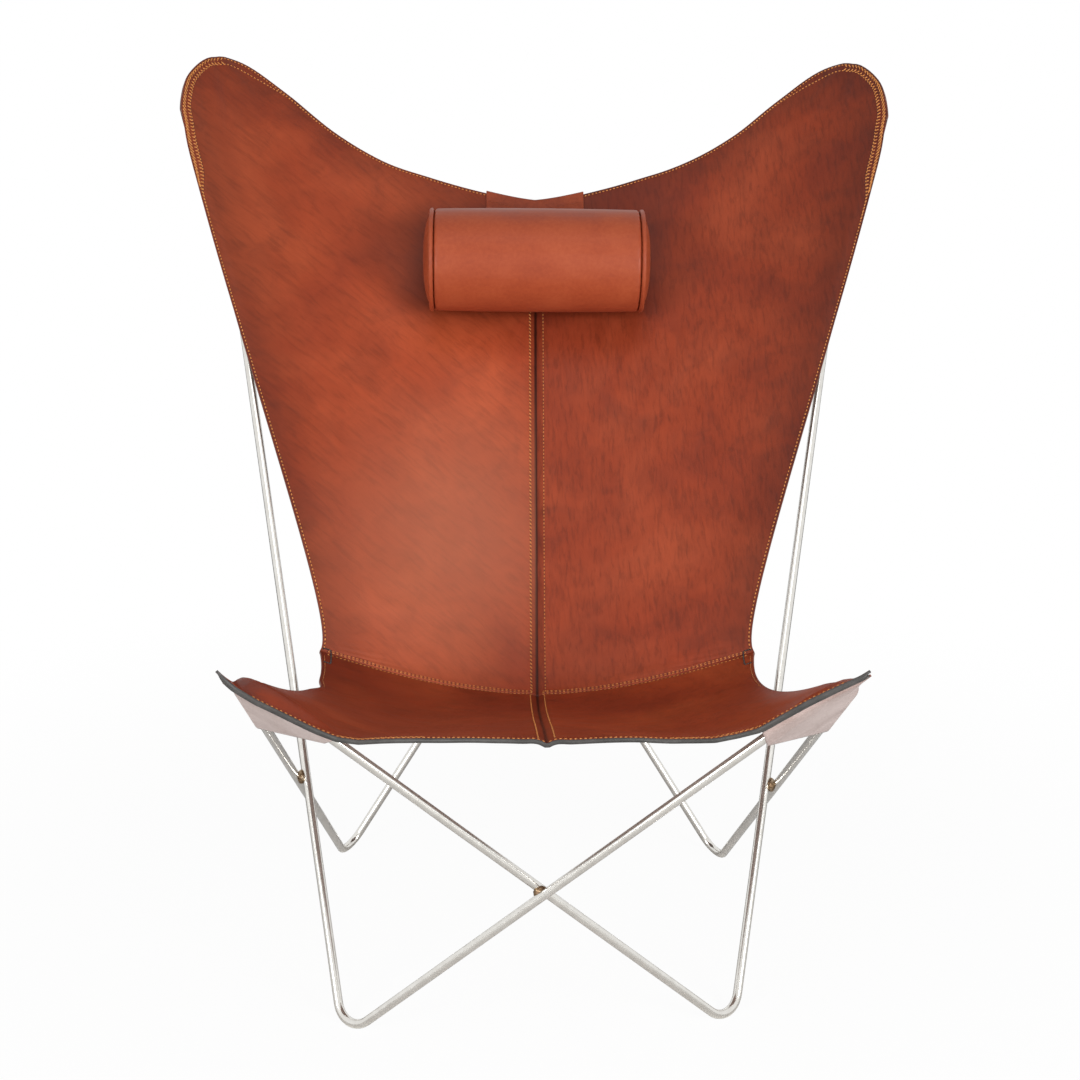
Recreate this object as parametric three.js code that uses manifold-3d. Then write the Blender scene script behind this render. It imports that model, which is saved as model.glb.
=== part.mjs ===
// Butterfly sling chair: two crossing loops of bent steel rod carry a leather sling by four sewn
// pockets, and a round neck roll hangs on a band over the top edge against a counterweight behind.
// Millimetres. X runs to the right as seen from the front, Y from the front to the back, Z up.
// The chair is laid out from the line of its front feet, then set down with its footprint centred.

import * as THREE from 'three';
import { mergeVertices } from 'three/addons/utils/BufferGeometryUtils.js';
import Module from 'manifold-3d';

const wasm = await Module();
wasm.setup();

// Fits
const jointGap = 0.3;
const weldGap = 1;

// Rod frame: the corners are where the centre lines of two rods would meet if they weren't bent.
const rodDiameter = 10;
const wingHalfWidth = 442;
const wingDepth = 724;
const wingHeight = 1042;
const seatCornerHalfWidth = 305;
const seatCornerReach = 173;
const seatCornerHeight = 474;
const rearFootHalfWidth = 250;
const rearFootDepth = 457;
const footBendRadius = 28;
const wingBendRadius = 20;
const seatBendRadius = 34;
const footFlatDepth = 0.4;
const weldWidth = 17;
const weldHeight = 12;

// Leather
const leatherThickness = 3;
const liningThickness = 2.4;
const seamGap = 0.6;

// Sling: the fold in the middle and at its notched sides, and how far the edges lie from the corners
const foldDepth = 250;
const foldHeight = 291;
const notchHalfWidth = 257;
const notchHeight = 346;
const frontEdgeInset = 33;
const frontEdgeDrop = 92;
const topOverhang = 33;
const topDrop = 12;
const wingOverhang = 44;
const wingInset = 57;
const tipOverhang = 1;
const tipReach = 3;
const tipDrop = 3;

// Pockets and seam strips
const wingPocketMargin = 15;
const rearPocketReach = 196;
const frontPocketReach = 133;
const seamStripWidth = 28;
const foldStripWidth = 26;
const frontStripWidth = 18;

// Neck roll, band and counterweight
const rollDiameter = 128;
const rollCrown = 2;
const rollLength = 262;
const capBulge = 11;
const pipingDiameter = 6;
const rollDrop = 103;
const rollTravel = 90;
const bandWidth = 128;
const bandThickness = 2;
const bandFrontReach = 9;
const pouchWidth = 132;
const pouchDepth = 26;
const pouchDrop = 200;
const pouchHeight = 62;
const barLength = 120;

const frontEdgeDepth = frontEdgeInset - seatCornerReach;
const frontEdgeHeight = seatCornerHeight - frontEdgeDrop;
const topReachDepth = wingDepth + topOverhang;
const topReachHeight = wingHeight - topDrop;
const wingEdgeHalfWidth = wingHalfWidth + wingOverhang;
const wingEdgeDepth = wingDepth - wingInset;
const seatTipHalfWidth = seatCornerHalfWidth + tipOverhang;
const seatTipDepth = -seatCornerReach - tipReach;
const seatTipHeight = seatCornerHeight - tipDrop;

const rodRadius = rodDiameter / 2;
const rodReach = rodRadius + jointGap;
const layerPitch = (leatherThickness + liningThickness) / 2 + jointGap;
const bandPitch = (leatherThickness + bandThickness) / 2 + jointGap;

const materials = {
  steel: { color: 0xc9c6c0, roughness: 0.28, metalness: 1 },
  weld: { color: 0x8a7560, roughness: 0.45, metalness: 1 },
  leather: { color: 0x97431f, roughness: 0.5, metalness: 0 },
  lining: { color: 0xc9a99a, roughness: 0.8, metalness: 0 },
  roll: { color: 0xa2512f, roughness: 0.45, metalness: 0 },
  foam: { color: 0xe6dcc0, roughness: 0.95, metalness: 0 },
};

const chair = new THREE.Group();

function addPiece(name, geometry, material) {
  const mesh = new THREE.Mesh(geometry, new THREE.MeshStandardMaterial(materials[material]));
  mesh.name = name;
  chair.add(mesh);
  return mesh;
}

// Solids

function toManifold(geometry) {
  const bare = geometry.index ? geometry.clone() : geometry;
  bare.deleteAttribute('normal');
  bare.deleteAttribute('uv');
  const merged = mergeVertices(bare);
  const vertProperties = new Float32Array(merged.attributes.position.array);
  const triVerts = new Uint32Array(merged.index.array);
  return new wasm.Manifold(new wasm.Mesh({ numProp: 3, vertProperties, triVerts }));
}

function fromManifold(solid) {
  const mesh = solid.getMesh();
  const geometry = new THREE.BufferGeometry();
  geometry.setAttribute('position', new THREE.BufferAttribute(mesh.vertProperties, 3));
  geometry.setIndex(new THREE.BufferAttribute(mesh.triVerts, 1));
  return geometry;
}

// A closed sheet between two offsets from a surface; the surface takes two shares from 0 to 1.
function sheetGeometry({ pointAt, normalAt, columns, rows, outer, inner }) {
  const positions = [];
  for (const offset of [outer, inner]) {
    for (let i = 0; i <= columns; i++) {
      for (let j = 0; j <= rows; j++) {
        const [a, b] = [i / columns, j / rows];
        const point = pointAt(a, b).addScaledVector(normalAt(a, b), offset);
        positions.push(point.x, point.y, point.z);
      }
    }
  }
  const layer = (columns + 1) * (rows + 1);
  const at = (i, j, side) => side * layer + i * (rows + 1) + j;
  const faces = [];
  const quad = (a, b, c, d) => faces.push(a, b, c, a, c, d);
  for (let i = 0; i < columns; i++) {
    for (let j = 0; j < rows; j++) {
      quad(at(i, j, 0), at(i + 1, j, 0), at(i + 1, j + 1, 0), at(i, j + 1, 0));
      quad(at(i, j, 1), at(i, j + 1, 1), at(i + 1, j + 1, 1), at(i + 1, j, 1));
    }
    quad(at(i, 0, 1), at(i + 1, 0, 1), at(i + 1, 0, 0), at(i, 0, 0));
    quad(at(i, rows, 0), at(i + 1, rows, 0), at(i + 1, rows, 1), at(i, rows, 1));
  }
  for (let j = 0; j < rows; j++) {
    quad(at(0, j, 0), at(0, j + 1, 0), at(0, j + 1, 1), at(0, j, 1));
    quad(at(columns, j, 1), at(columns, j + 1, 1), at(columns, j + 1, 0), at(columns, j, 0));
  }
  const geometry = new THREE.BufferGeometry();
  geometry.setAttribute('position', new THREE.Float32BufferAttribute(positions, 3));
  geometry.setIndex(faces);
  return facingOut(geometry);
}

// Turns a closed mesh round if its volume comes out negative.
function facingOut(geometry) {
  const p = geometry.attributes.position;
  const index = geometry.index.array;
  const corner = [new THREE.Vector3(), new THREE.Vector3(), new THREE.Vector3()];
  let volume = 0;
  for (let i = 0; i < index.length; i += 3) {
    corner.forEach((v, k) => v.fromBufferAttribute(p, index[i + k]));
    volume += corner[0].dot(corner[1].clone().cross(corner[2]));
  }
  if (volume < 0) {
    for (let i = 0; i < index.length; i += 3) {
      [index[i + 1], index[i + 2]] = [index[i + 2], index[i + 1]];
    }
  }
  return geometry;
}

// Frame layout

const rods = {
  side_rod_left: ['frontFootLeft', 'wingLeft'],
  side_rod_right: ['frontFootRight', 'wingRight'],
  seat_rod_left: ['seatCornerLeft', 'rearFootLeft'],
  seat_rod_right: ['seatCornerRight', 'rearFootRight'],
  front_rod_left: ['seatCornerLeft', 'frontFootRight'],
  front_rod_right: ['seatCornerRight', 'frontFootLeft'],
  rear_rod_left: ['wingLeft', 'rearFootRight'],
  rear_rod_right: ['wingRight', 'rearFootLeft'],
};

// The loops stand a little before and behind each other at the feet, which sets the gaps where they cross.
function cornersFor({ frontStagger, rearStagger, frontHalfWidth, frontDrop, rearDrop }) {
  const at = (x, y, z) => new THREE.Vector3(x, y, z);
  return {
    wingLeft: at(-wingHalfWidth, wingDepth, wingHeight),
    wingRight: at(wingHalfWidth, wingDepth, wingHeight),
    seatCornerLeft: at(-seatCornerHalfWidth, -seatCornerReach, seatCornerHeight),
    seatCornerRight: at(seatCornerHalfWidth, -seatCornerReach, seatCornerHeight),
    frontFootLeft: at(-frontHalfWidth, -frontStagger, -frontDrop),
    frontFootRight: at(frontHalfWidth, frontStagger, -frontDrop),
    rearFootLeft: at(-rearFootHalfWidth, rearFootDepth + rearStagger, -rearDrop),
    rearFootRight: at(rearFootHalfWidth, rearFootDepth - rearStagger, -rearDrop),
  };
}

function lineGap(corners, first, second) {
  const [a, b] = rods[first].map((name) => corners[name]);
  const [c, d] = rods[second].map((name) => corners[name]);
  const across = b.clone().sub(a).cross(d.clone().sub(c)).normalize();
  return Math.abs(c.clone().sub(a).dot(across));
}

function bendAt(corners, name, radius) {
  const corner = corners[name];
  const [first, second] = Object.values(rods)
    .filter((ends) => ends.includes(name))
    .map((ends) => corners[ends[0] === name ? ends[1] : ends[0]].clone().sub(corner).normalize());
  const half = first.angleTo(second) / 2;
  const middle = first.clone().add(second).normalize();
  return {
    radius,
    corner,
    first,
    second,
    half,
    setback: radius / Math.tan(half),
    centre: corner.clone().addScaledVector(middle, radius / Math.sin(half)),
  };
}

function lowestOf(bend) {
  const across = bend.first.clone().cross(bend.second).normalize();
  return bend.centre.z - bend.radius * Math.sqrt(1 - across.z ** 2) - rodRadius;
}

// Sets the staggers, the stance and the drop of the feet, so that the crossing rods lie a weld gap
// apart, and each foot bend, less its flat, comes down to the floor.
function settleFrame() {
  const crossing = rodDiameter + weldGap;
  const layout = {
    frontStagger: rodRadius, rearStagger: rodRadius, frontHalfWidth: rearFootHalfWidth / 2,
    frontDrop: 0, rearDrop: 0,
  };
  const misses = {
    frontStagger: (c) => crossing - lineGap(c, 'front_rod_left', 'front_rod_right'),
    rearStagger: (c) => crossing - lineGap(c, 'rear_rod_left', 'rear_rod_right'),
    frontHalfWidth: (c) => lineGap(c, 'side_rod_left', 'seat_rod_left') - crossing,
    frontDrop: (c) => lowestOf(bendAt(c, 'frontFootLeft', footBendRadius)) + footFlatDepth,
    rearDrop: (c) => lowestOf(bendAt(c, 'rearFootLeft', footBendRadius)) + footFlatDepth,
  };
  const rounds = 40;
  for (let round = 0; round < rounds; round++) {
    for (const [name, miss] of Object.entries(misses)) {
      layout[name] += miss(cornersFor(layout));
    }
  }
  return cornersFor(layout);
}

const corners = settleFrame();

const bends = {
  front_foot_left: ['frontFootLeft', footBendRadius],
  front_foot_right: ['frontFootRight', footBendRadius],
  rear_foot_left: ['rearFootLeft', footBendRadius],
  rear_foot_right: ['rearFootRight', footBendRadius],
  wing_bend_left: ['wingLeft', wingBendRadius],
  wing_bend_right: ['wingRight', wingBendRadius],
  seat_bend_left: ['seatCornerLeft', seatBendRadius],
  seat_bend_right: ['seatCornerRight', seatBendRadius],
};

const setbacks = {};
for (const [name, radius] of Object.values(bends)) {
  setbacks[name] = bendAt(corners, name, radius).setback;
}

// Frame pieces

class BendCurve extends THREE.Curve {
  constructor(bend) {
    super();
    this.bend = bend;
  }

  getPoint(share, target = new THREE.Vector3()) {
    const { centre, corner, first, half, radius, setback } = this.bend;
    const start = corner.clone().addScaledVector(first, setback).sub(centre).normalize();
    const angle = share * (Math.PI - 2 * half);
    target.copy(centre).addScaledVector(start, radius * Math.cos(angle));
    return target.addScaledVector(first, -radius * Math.sin(angle));
  }
}

const rodSides = 12;
const bendSteps = 7;

function circleShape(radius, sides) {
  const points = [];
  for (let i = 0; i < sides; i++) {
    const angle = (2 * Math.PI * i) / sides;
    points.push(new THREE.Vector2(radius * Math.cos(angle), radius * Math.sin(angle)));
  }
  return new THREE.Shape(points);
}

function bendGeometry(bend, steps) {
  return new THREE.ExtrudeGeometry(circleShape(rodRadius, rodSides), {
    extrudePath: new BendCurve(bend), steps, bevelEnabled: false,
  });
}

function cutFlat(geometry, bend) {
  const size = 4 * (bend.radius + rodDiameter);
  const floor = new THREE.BoxGeometry(size, size, size);
  floor.translate(bend.centre.x, bend.centre.y, -size / 2);
  return fromManifold(toManifold(geometry).subtract(toManifold(floor)));
}

function addBends() {
  for (const [name, [corner, radius]] of Object.entries(bends)) {
    const bend = bendAt(corners, corner, radius);
    const geometry = bendGeometry(bend, bendSteps);
    addPiece(name, name.includes('foot') ? cutFlat(geometry, bend) : geometry, 'steel');
  }
}

function rodSpan(name) {
  const [from, to] = rods[name];
  const along = corners[to].clone().sub(corners[from]).normalize();
  const start = corners[from].clone().addScaledVector(along, setbacks[from] + jointGap);
  const end = corners[to].clone().addScaledVector(along, -setbacks[to] - jointGap);
  return { start, end, along };
}

function rodGeometry(name, radius) {
  const { start, end, along } = rodSpan(name);
  const geometry = new THREE.CylinderGeometry(radius, radius, start.distanceTo(end), rodSides);
  geometry.applyQuaternion(new THREE.Quaternion().setFromUnitVectors(new THREE.Vector3(0, 1, 0), along));
  const middle = start.clone().lerp(end, 0.5);
  return geometry.translate(middle.x, middle.y, middle.z);
}

function addRods() {
  for (const name of Object.keys(rods)) {
    addPiece(name, rodGeometry(name, rodRadius), 'steel');
  }
}

// The point halfway between two rods where they pass each other, and the direction across them
function crossingOf(first, second) {
  const a = rodSpan(first);
  const b = rodSpan(second);
  const across = a.along.clone().cross(b.along);
  const between = b.start.clone().sub(a.start);
  const onA = between.clone().cross(b.along).dot(across) / across.lengthSq();
  const onB = between.clone().cross(a.along).dot(across) / across.lengthSq();
  const pointA = a.start.clone().addScaledVector(a.along, onA);
  const pointB = b.start.clone().addScaledVector(b.along, onB);
  return { middle: pointA.lerp(pointB, 0.5), across: across.normalize() };
}

function addWelds() {
  const beadSegments = 10;
  const pairs = {
    weld_front: ['front_rod_left', 'front_rod_right'],
    weld_rear: ['rear_rod_left', 'rear_rod_right'],
    weld_left: ['side_rod_left', 'seat_rod_left'],
    weld_right: ['side_rod_right', 'seat_rod_right'],
  };
  for (const [name, [first, second]] of Object.entries(pairs)) {
    const { middle, across } = crossingOf(first, second);
    const bead = new THREE.SphereGeometry(weldWidth / 2, beadSegments, beadSegments);
    bead.scale(1, weldHeight / weldWidth, 1);
    bead.applyQuaternion(new THREE.Quaternion().setFromUnitVectors(new THREE.Vector3(0, 1, 0), across));
    bead.translate(middle.x, middle.y, middle.z);
    let solid = toManifold(bead);
    for (const rod of [first, second]) {
      solid = solid.subtract(toManifold(rodGeometry(rod, rodReach)));
    }
    addPiece(name, fromManifold(solid), 'weld');
  }
}

// Sling surface

const sides = { left: -1, right: 1 };

// The plane of the two rods that run into a corner, facing the sitter
function rodPlane(corner, first, second) {
  const normal = corners[first].clone().sub(corners[corner]).cross(corners[second].clone().sub(corners[corner]));
  normal.normalize();
  if (normal.z < 0) normal.negate();
  return new THREE.Plane().setFromNormalAndCoplanarPoint(normal, corners[corner]);
}

const { lerp, smoothstep, clamp } = THREE.MathUtils;

function cubic(points, share) {
  const rest = 1 - share;
  const weights = [rest ** 3, 3 * rest ** 2 * share, 3 * rest * share ** 2, share ** 3];
  return points[0].map((_, axis) => weights.reduce((sum, w, k) => sum + w * points[k][axis], 0));
}

// Depth and height are mixed by shares of the span between the two ends of a line.
const backCentreShares = [[0, 0], [0.1, 0.012], [0.49, 0.472], [1, 1]];
const seatCentreShares = [[0, 0], [0.15, -0.09], [0.64, 0.6], [1, 1]];
const backEdgeShares = [[0, 0], [-0.103, 0.038], [0.4515, 0.43], [1, 1]];
const seatEdgeShares = [[0, 0, 0], [-0.55, 0.34, -0.24], [0.6, 0.643, 0.384], [1, 1, 1]];

const backCentreLine = backCentreShares.map(([depth, height]) => [
  lerp(foldDepth, topReachDepth, depth), lerp(foldHeight, topReachHeight, height),
]);
const seatCentreLine = seatCentreShares.map(([depth, height]) => [
  lerp(foldDepth, frontEdgeDepth, depth), lerp(foldHeight, frontEdgeHeight, height),
]);
const backEdgeLine = backEdgeShares.map(([out, up]) => [
  lerp(notchHalfWidth, wingEdgeHalfWidth, out),
  lerp(foldDepth, wingEdgeDepth, up), lerp(notchHeight, topReachHeight, up),
]);
const seatEdgeLine = seatEdgeShares.map(([out, forward, up]) => [
  lerp(notchHalfWidth, seatTipHalfWidth, out),
  lerp(foldDepth, seatTipDepth, forward), lerp(notchHeight, seatTipHeight, up),
]);

// A rib across the sling is flat in the middle and turns up towards its end, softly or sharply.
const foldRib = { startShare: 0.4, softnessShare: 0.45 };
const wingRib = { startShare: 0.8, softnessShare: 0.12, fromShare: 0.45, toShare: 0.95 };
const squareShare = 0.75;
const frontRib = { startShare: 0.66, softnessShare: 0.12 };

function ribRise(share, start, softness) {
  const bent = (r) => r - start + Math.hypot(r - start, softness);
  return (bent(share) - bent(0)) / (bent(1) - bent(0));
}

// The bent line of the two rods at each seat corner, as points, with the plane that they lie in
const bendPoints = 8;

function seatCornerLine(name, opposite) {
  const bend = bendAt(corners, `seatCorner${name}`, seatBendRadius);
  const arc = new BendCurve(bend).getPoints(bendPoints);
  const line = [corners[`rearFoot${name}`], ...arc, corners[`frontFoot${opposite}`]];
  const plane = rodPlane(`seatCorner${name}`, `frontFoot${opposite}`, `rearFoot${name}`);
  return { line, plane };
}

const seatCorners = { left: seatCornerLine('Left', 'Right'), right: seatCornerLine('Right', 'Left') };

// The leather lies over the rods of the seat corners: near them its height above their plane is at
// least that of a ridge along the rods, which falls off like a parabola.
const ridgeClearance = 3.6;
const ridgeHeight = rodRadius + leatherThickness / 2 + ridgeClearance;
const ridgeRadius = 20;
const ridgeSoftness = 1;

function overRods(point) {
  const { line, plane } = point.x < 0 ? seatCorners.left : seatCorners.right;
  const height = plane.distanceToPoint(point);
  const foot = point.clone().addScaledVector(plane.normal, -height);
  const nearest = new THREE.Vector3();
  let distance = Infinity;
  for (let i = 1; i < line.length; i++) {
    new THREE.Line3(line[i - 1], line[i]).closestPointToPoint(foot, true, nearest);
    distance = Math.min(distance, nearest.distanceTo(foot));
  }
  const ridge = ridgeHeight - distance ** 2 / (2 * ridgeRadius);
  const lift = (ridge - height + Math.hypot(ridge - height, ridgeSoftness)) / 2;
  return point.addScaledVector(plane.normal, lift);
}

// The sling at x, and a share of the way up the back, or with a minus sign along the seat to the front
function slingPoint(x, along) {
  const back = along >= 0;
  const share = Math.abs(along);
  const [centreDepth, centreHeight] = cubic(back ? backCentreLine : seatCentreLine, share);
  const [halfWidth, edgeDepth, edgeHeight] = cubic(back ? backEdgeLine : seatEdgeLine, share);
  const end = back ? wingRib : frontRib;
  const mix = back ? smoothstep(share, wingRib.fromShare, wingRib.toShare) : smoothstep(share, 0, 1);
  const start = lerp(foldRib.startShare, end.startShare, mix);
  const softness = lerp(foldRib.softnessShare, end.softnessShare, mix);
  const reach = Math.abs(x) / halfWidth;
  const rise = ribRise(reach, start, softness);
  const height = lerp(centreHeight, edgeHeight, rise);
  if (back) return new THREE.Vector3(x, lerp(centreDepth, edgeDepth, rise), height);
  return overRods(new THREE.Vector3(x, lerp(centreDepth, edgeDepth, smoothstep(reach, 0, squareShare)), height));
}

function halfWidthAt(along) {
  return cubic(along >= 0 ? backEdgeLine : seatEdgeLine, Math.abs(along))[0];
}

// The side of the sling that faces the sitter. The step is wide enough for the panels that meet at
// the fold to share one direction there.
const probeShare = 0.012;
const probeWidth = 3;

function slingNormal(x, along) {
  const across = slingPoint(x + probeWidth, along).sub(slingPoint(x - probeWidth, along));
  const up = slingPoint(x, along + probeShare).sub(slingPoint(x, along - probeShare));
  return across.cross(up).normalize();
}

// The top edge as shares up the back, at even steps from the middle to the side
const topEdgeShares = [0.834, 0.8445, 0.86, 0.8795, 0.911, 0.9535, 0.9865, 0.992, 0.976, 0.951, 0.936];

function topEdgeAt(column) {
  const steps = topEdgeShares.length - 1;
  const place = clamp(column, 0, 1) * steps;
  const k = Math.min(Math.floor(place), steps - 1);
  const t = place - k;
  const [a, b, c, d] = [k - 1, k, k + 1, k + 2].map((i) => topEdgeShares[clamp(i, 0, steps)]);
  return b + (t / 2) * (c - a + t * (2 * a - 5 * b + 4 * c - d + t * (3 * (b - c) + d - a)));
}

// Columns crowd towards the side edge, so that the round of the wing is even.
const columnReach = (column) => Math.sin((column * Math.PI) / 2);

function backPlace(column, row) {
  return row * topEdgeAt(column);
}

function sheetOn(placeAt, options) {
  return sheetGeometry({
    ...options,
    pointAt: (a, b) => slingPoint(...placeAt(a, b)),
    normalAt: (a, b) => slingNormal(...placeAt(a, b)),
  });
}

// Sling pieces

const pocketPitch = layerPitch + jointGap / 2;
const halfLeather = { outer: leatherThickness / 2, inner: -leatherThickness / 2 };
const foldGapShare = 0.003;

// Rows crowd towards the front edge, where the leather turns over the rods.
const sideCrowding = 0.7;
const foldCrowding = 0.15;
const frontCrowding = 0.65;
const seatColumn = (column) => column * (1 + sideCrowding * (1 - column));
const seatRow = (row) => row * (1 + foldCrowding + row * (frontCrowding * (1 - row) - foldCrowding));

function addPanels() {
  for (const [side, sign] of Object.entries(sides)) {
    const across = (share, along) => sign * lerp(seamGap / 2, halfWidthAt(along), share);
    const back = (column, row) => {
      const along = lerp(foldGapShare, backPlace(column, 1), row);
      return [across(columnReach(column), along), along];
    };
    const seat = (column, row) => {
      const along = -lerp(foldGapShare, 1, seatRow(row));
      return [across(seatColumn(column), along), along];
    };
    addPiece(`back_${side}`, sheetOn(back, { columns: 16, rows: 18, ...halfLeather }), 'leather');
    addPiece(`seat_${side}`, sheetOn(seat, { columns: 13, rows: 17, ...halfLeather }), 'leather');
  }
}

const backStripEndShare = 0.8;
const stripDepth = layerPitch + jointGap;
const stripUnder = { outer: liningThickness / 2 - stripDepth, inner: -liningThickness / 2 - stripDepth };

function shareOfFold(width, line) {
  const start = new THREE.Vector2(...line[0]);
  const next = new THREE.Vector2(...line[1]);
  return width / (3 * start.distanceTo(next));
}

function addStrips() {
  const backFold = shareOfFold(foldStripWidth / 2, backCentreLine);
  const seatFold = shareOfFold(foldStripWidth / 2, seatCentreLine);
  const frontStart = 1 - frontStripWidth / (foldDepth - frontEdgeDepth);
  const stripGapShare = 0.012;
  const endShare = 0.97;
  const pocketShare = 0.64;
  const across = (a) => lerp(-seamStripWidth / 2, seamStripWidth / 2, a);
  const places = {
    back_seam_strip: (a, b) => [across(a), lerp(backFold + stripGapShare, backStripEndShare, b)],
    seat_seam_strip: (a, b) => [across(a), -lerp(seatFold + stripGapShare, frontStart - stripGapShare, b)],
    fold_strip: (a, b) => {
      const along = lerp(-seatFold, backFold, b);
      return [lerp(-endShare, endShare, a) * halfWidthAt(along), along];
    },
    front_edge_strip: (a, b) => {
      const along = -lerp(frontStart, 1, b);
      return [lerp(-pocketShare, pocketShare, a) * halfWidthAt(along), along];
    },
  };
  const grids = {
    back_seam_strip: [2, 18], seat_seam_strip: [2, 8], fold_strip: [20, 6], front_edge_strip: [16, 2],
  };
  for (const [name, placeAt] of Object.entries(places)) {
    const [columns, rows] = grids[name];
    addPiece(name, sheetOn(placeAt, { columns, rows, ...stripUnder }), 'lining');
  }
}

// The wing pockets lie flat behind the rods and come up to the panel along the stitched edge.
const wingPocket = { innerColumnShare: 0.42, tipShare: 0.012, outerStartShare: 0.8 };

function addWingPockets() {
  const behind = rodReach + liningThickness / 2;
  for (const [side, sign] of Object.entries(sides)) {
    const name = side === 'left' ? 'Left' : 'Right';
    const opposite = side === 'left' ? 'Right' : 'Left';
    const plane = rodPlane(`wing${name}`, `frontFoot${name}`, `rearFoot${opposite}`);
    const placeAt = (a, b) => {
      const column = lerp(wingPocket.innerColumnShare, 1, a);
      const top = topEdgeAt(column);
      const opening = lerp(topEdgeAt(wingPocket.innerColumnShare) - wingPocket.tipShare, wingPocket.outerStartShare, a);
      const along = lerp(opening, top, b);
      return [sign * columnReach(column) * halfWidthAt(along), along];
    };
    const edgeDistance = (a, b) => {
      const [x, along] = placeAt(a, b);
      const here = slingPoint(x, along);
      const atSide = slingPoint(sign * halfWidthAt(along), along);
      const atTop = slingPoint(x, placeAt(a, 1)[1]);
      return Math.min(here.distanceTo(atSide), here.distanceTo(atTop));
    };
    const pointAt = (a, b) => {
      const [x, along] = placeAt(a, b);
      const sewn = slingPoint(x, along).addScaledVector(slingNormal(x, along), -layerPitch);
      const flat = slingPoint(x, along);
      flat.addScaledVector(plane.normal, -plane.distanceToPoint(flat) - behind);
      return sewn.lerp(flat, smoothstep(edgeDistance(a, b), 0, wingPocketMargin));
    };
    const normalAt = (a, b) => slingNormal(...placeAt(a, b));
    const half = liningThickness / 2;
    const geometry = sheetGeometry({ pointAt, normalAt, columns: 14, rows: 12, outer: half, inner: -half });
    addPiece(`wing_pocket_${side}`, geometry, 'lining');
  }
}

// The seat pockets hang from the front edge, pass under both rods and come up round the rear one.
const seatPocket = { tipShare: 0.26, frontShare: 0.34, sideShare: 0.4 };

function addSeatPockets() {
  const clear = rodReach + liningThickness / 2 + 2 * jointGap;
  const half = liningThickness / 2;
  const flatShares = [0, 0.25, 0.5, 0.75, 1];
  const wrapShares = [0.33, 0.67, 1];
  const frontTurn = Math.PI / 4;
  const shortTurn = 0.64 * Math.PI;
  for (const [side, sign] of Object.entries(sides)) {
    const name = side === 'left' ? 'Left' : 'Right';
    const opposite = side === 'left' ? 'Right' : 'Left';
    const corner = corners[`seatCorner${name}`];
    const { plane } = seatCorners[side];
    const alongFront = corners[`frontFoot${opposite}`].clone().sub(corner).normalize();
    const alongRear = corners[`rearFoot${name}`].clone().sub(corner).normalize();
    const forward = alongFront.clone().cross(plane.normal).normalize();
    if (forward.dot(alongRear) > 0) forward.negate();
    const outward = alongRear.clone().cross(plane.normal).normalize();
    if (outward.dot(alongFront) > 0) outward.negate();
    const under = (x, along) => slingPoint(x, along).addScaledVector(slingNormal(x, along), -pocketPitch);
    const wrap = (centre, away, angle) => centre.clone()
      .addScaledVector(plane.normal, -clear * Math.cos(angle))
      .addScaledVector(away, clear * Math.sin(angle));
    const sectionAt = (q) => {
      const share = lerp(seatPocket.tipShare, 1, q);
      const front = corner.clone().addScaledVector(alongFront, frontPocketReach * share);
      const rear = corner.clone().addScaledVector(alongRear, rearPocketReach * share);
      const sideShare = 1 - seatPocket.sideShare * share;
      const frontSeam = under(sign * halfWidthAt(-1) * (1 - seatPocket.frontShare * share), -1);
      const sideSeam = under(sign * halfWidthAt(-sideShare), -sideShare);
      // The pocket leaves the rod where a line to the seam touches it, or ends there near the tip.
      const toSeam = sideSeam.clone().sub(rear);
      const [out, up] = [toSeam.dot(outward), toSeam.dot(plane.normal)];
      const reach = Math.hypot(out, up);
      const isFree = reach > Math.SQRT2 * clear;
      const turn = isFree ? Math.atan2(up, out) + Math.PI / 2 - Math.acos(clear / reach) : shortTurn;
      const flat = flatShares.map((t) => wrap(front, forward, 0).lerp(wrap(rear, outward, 0), t));
      const round = wrapShares.map((t) => wrap(rear, outward, turn * t));
      const last = round[round.length - 1];
      const end = isFree ? sideSeam : wrap(rear, outward, turn + jointGap / clear);
      return [frontSeam, wrap(front, forward, frontTurn), ...flat, ...round, last.clone().lerp(end, 0.5), end];
    };
    const rows = flatShares.length + wrapShares.length + 3;
    const pointAt = (q, p) => sectionAt(q)[Math.round(clamp(p, 0, 1) * rows)];
    const step = 0.01;
    const normalAt = (q, p) => {
      const alongPocket = pointAt(q + step, p).sub(pointAt(q - step, p));
      const round = pointAt(q, p + 1 / rows).sub(pointAt(q, p - 1 / rows));
      return alongPocket.cross(round).normalize();
    };
    const geometry = sheetGeometry({ pointAt, normalAt, columns: 8, rows, outer: half, inner: -half });
    addPiece(`seat_pocket_${side}`, geometry, 'lining');
  }
}

// Neck roll

const rollRadius = rollDiameter / 2;
const coreGap = jointGap;

// The share up the back's centre line at a height
function shareAtHeight(height) {
  let [low, high] = [0, 1];
  const halvings = 30;
  for (let i = 0; i < halvings; i++) {
    const middle = (low + high) / 2;
    if (cubic(backCentreLine, middle)[1] < height) low = middle;
    else high = middle;
  }
  return low;
}

const restShare = shareAtHeight(slingPoint(0, topEdgeShares[0]).z - rollDrop);
const restTouch = slingPoint(0, restShare);
const slideDown = slingPoint(0, restShare - probeShare).sub(slingPoint(0, restShare + probeShare)).normalize();
const offBack = slingNormal(0, restShare);

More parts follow.
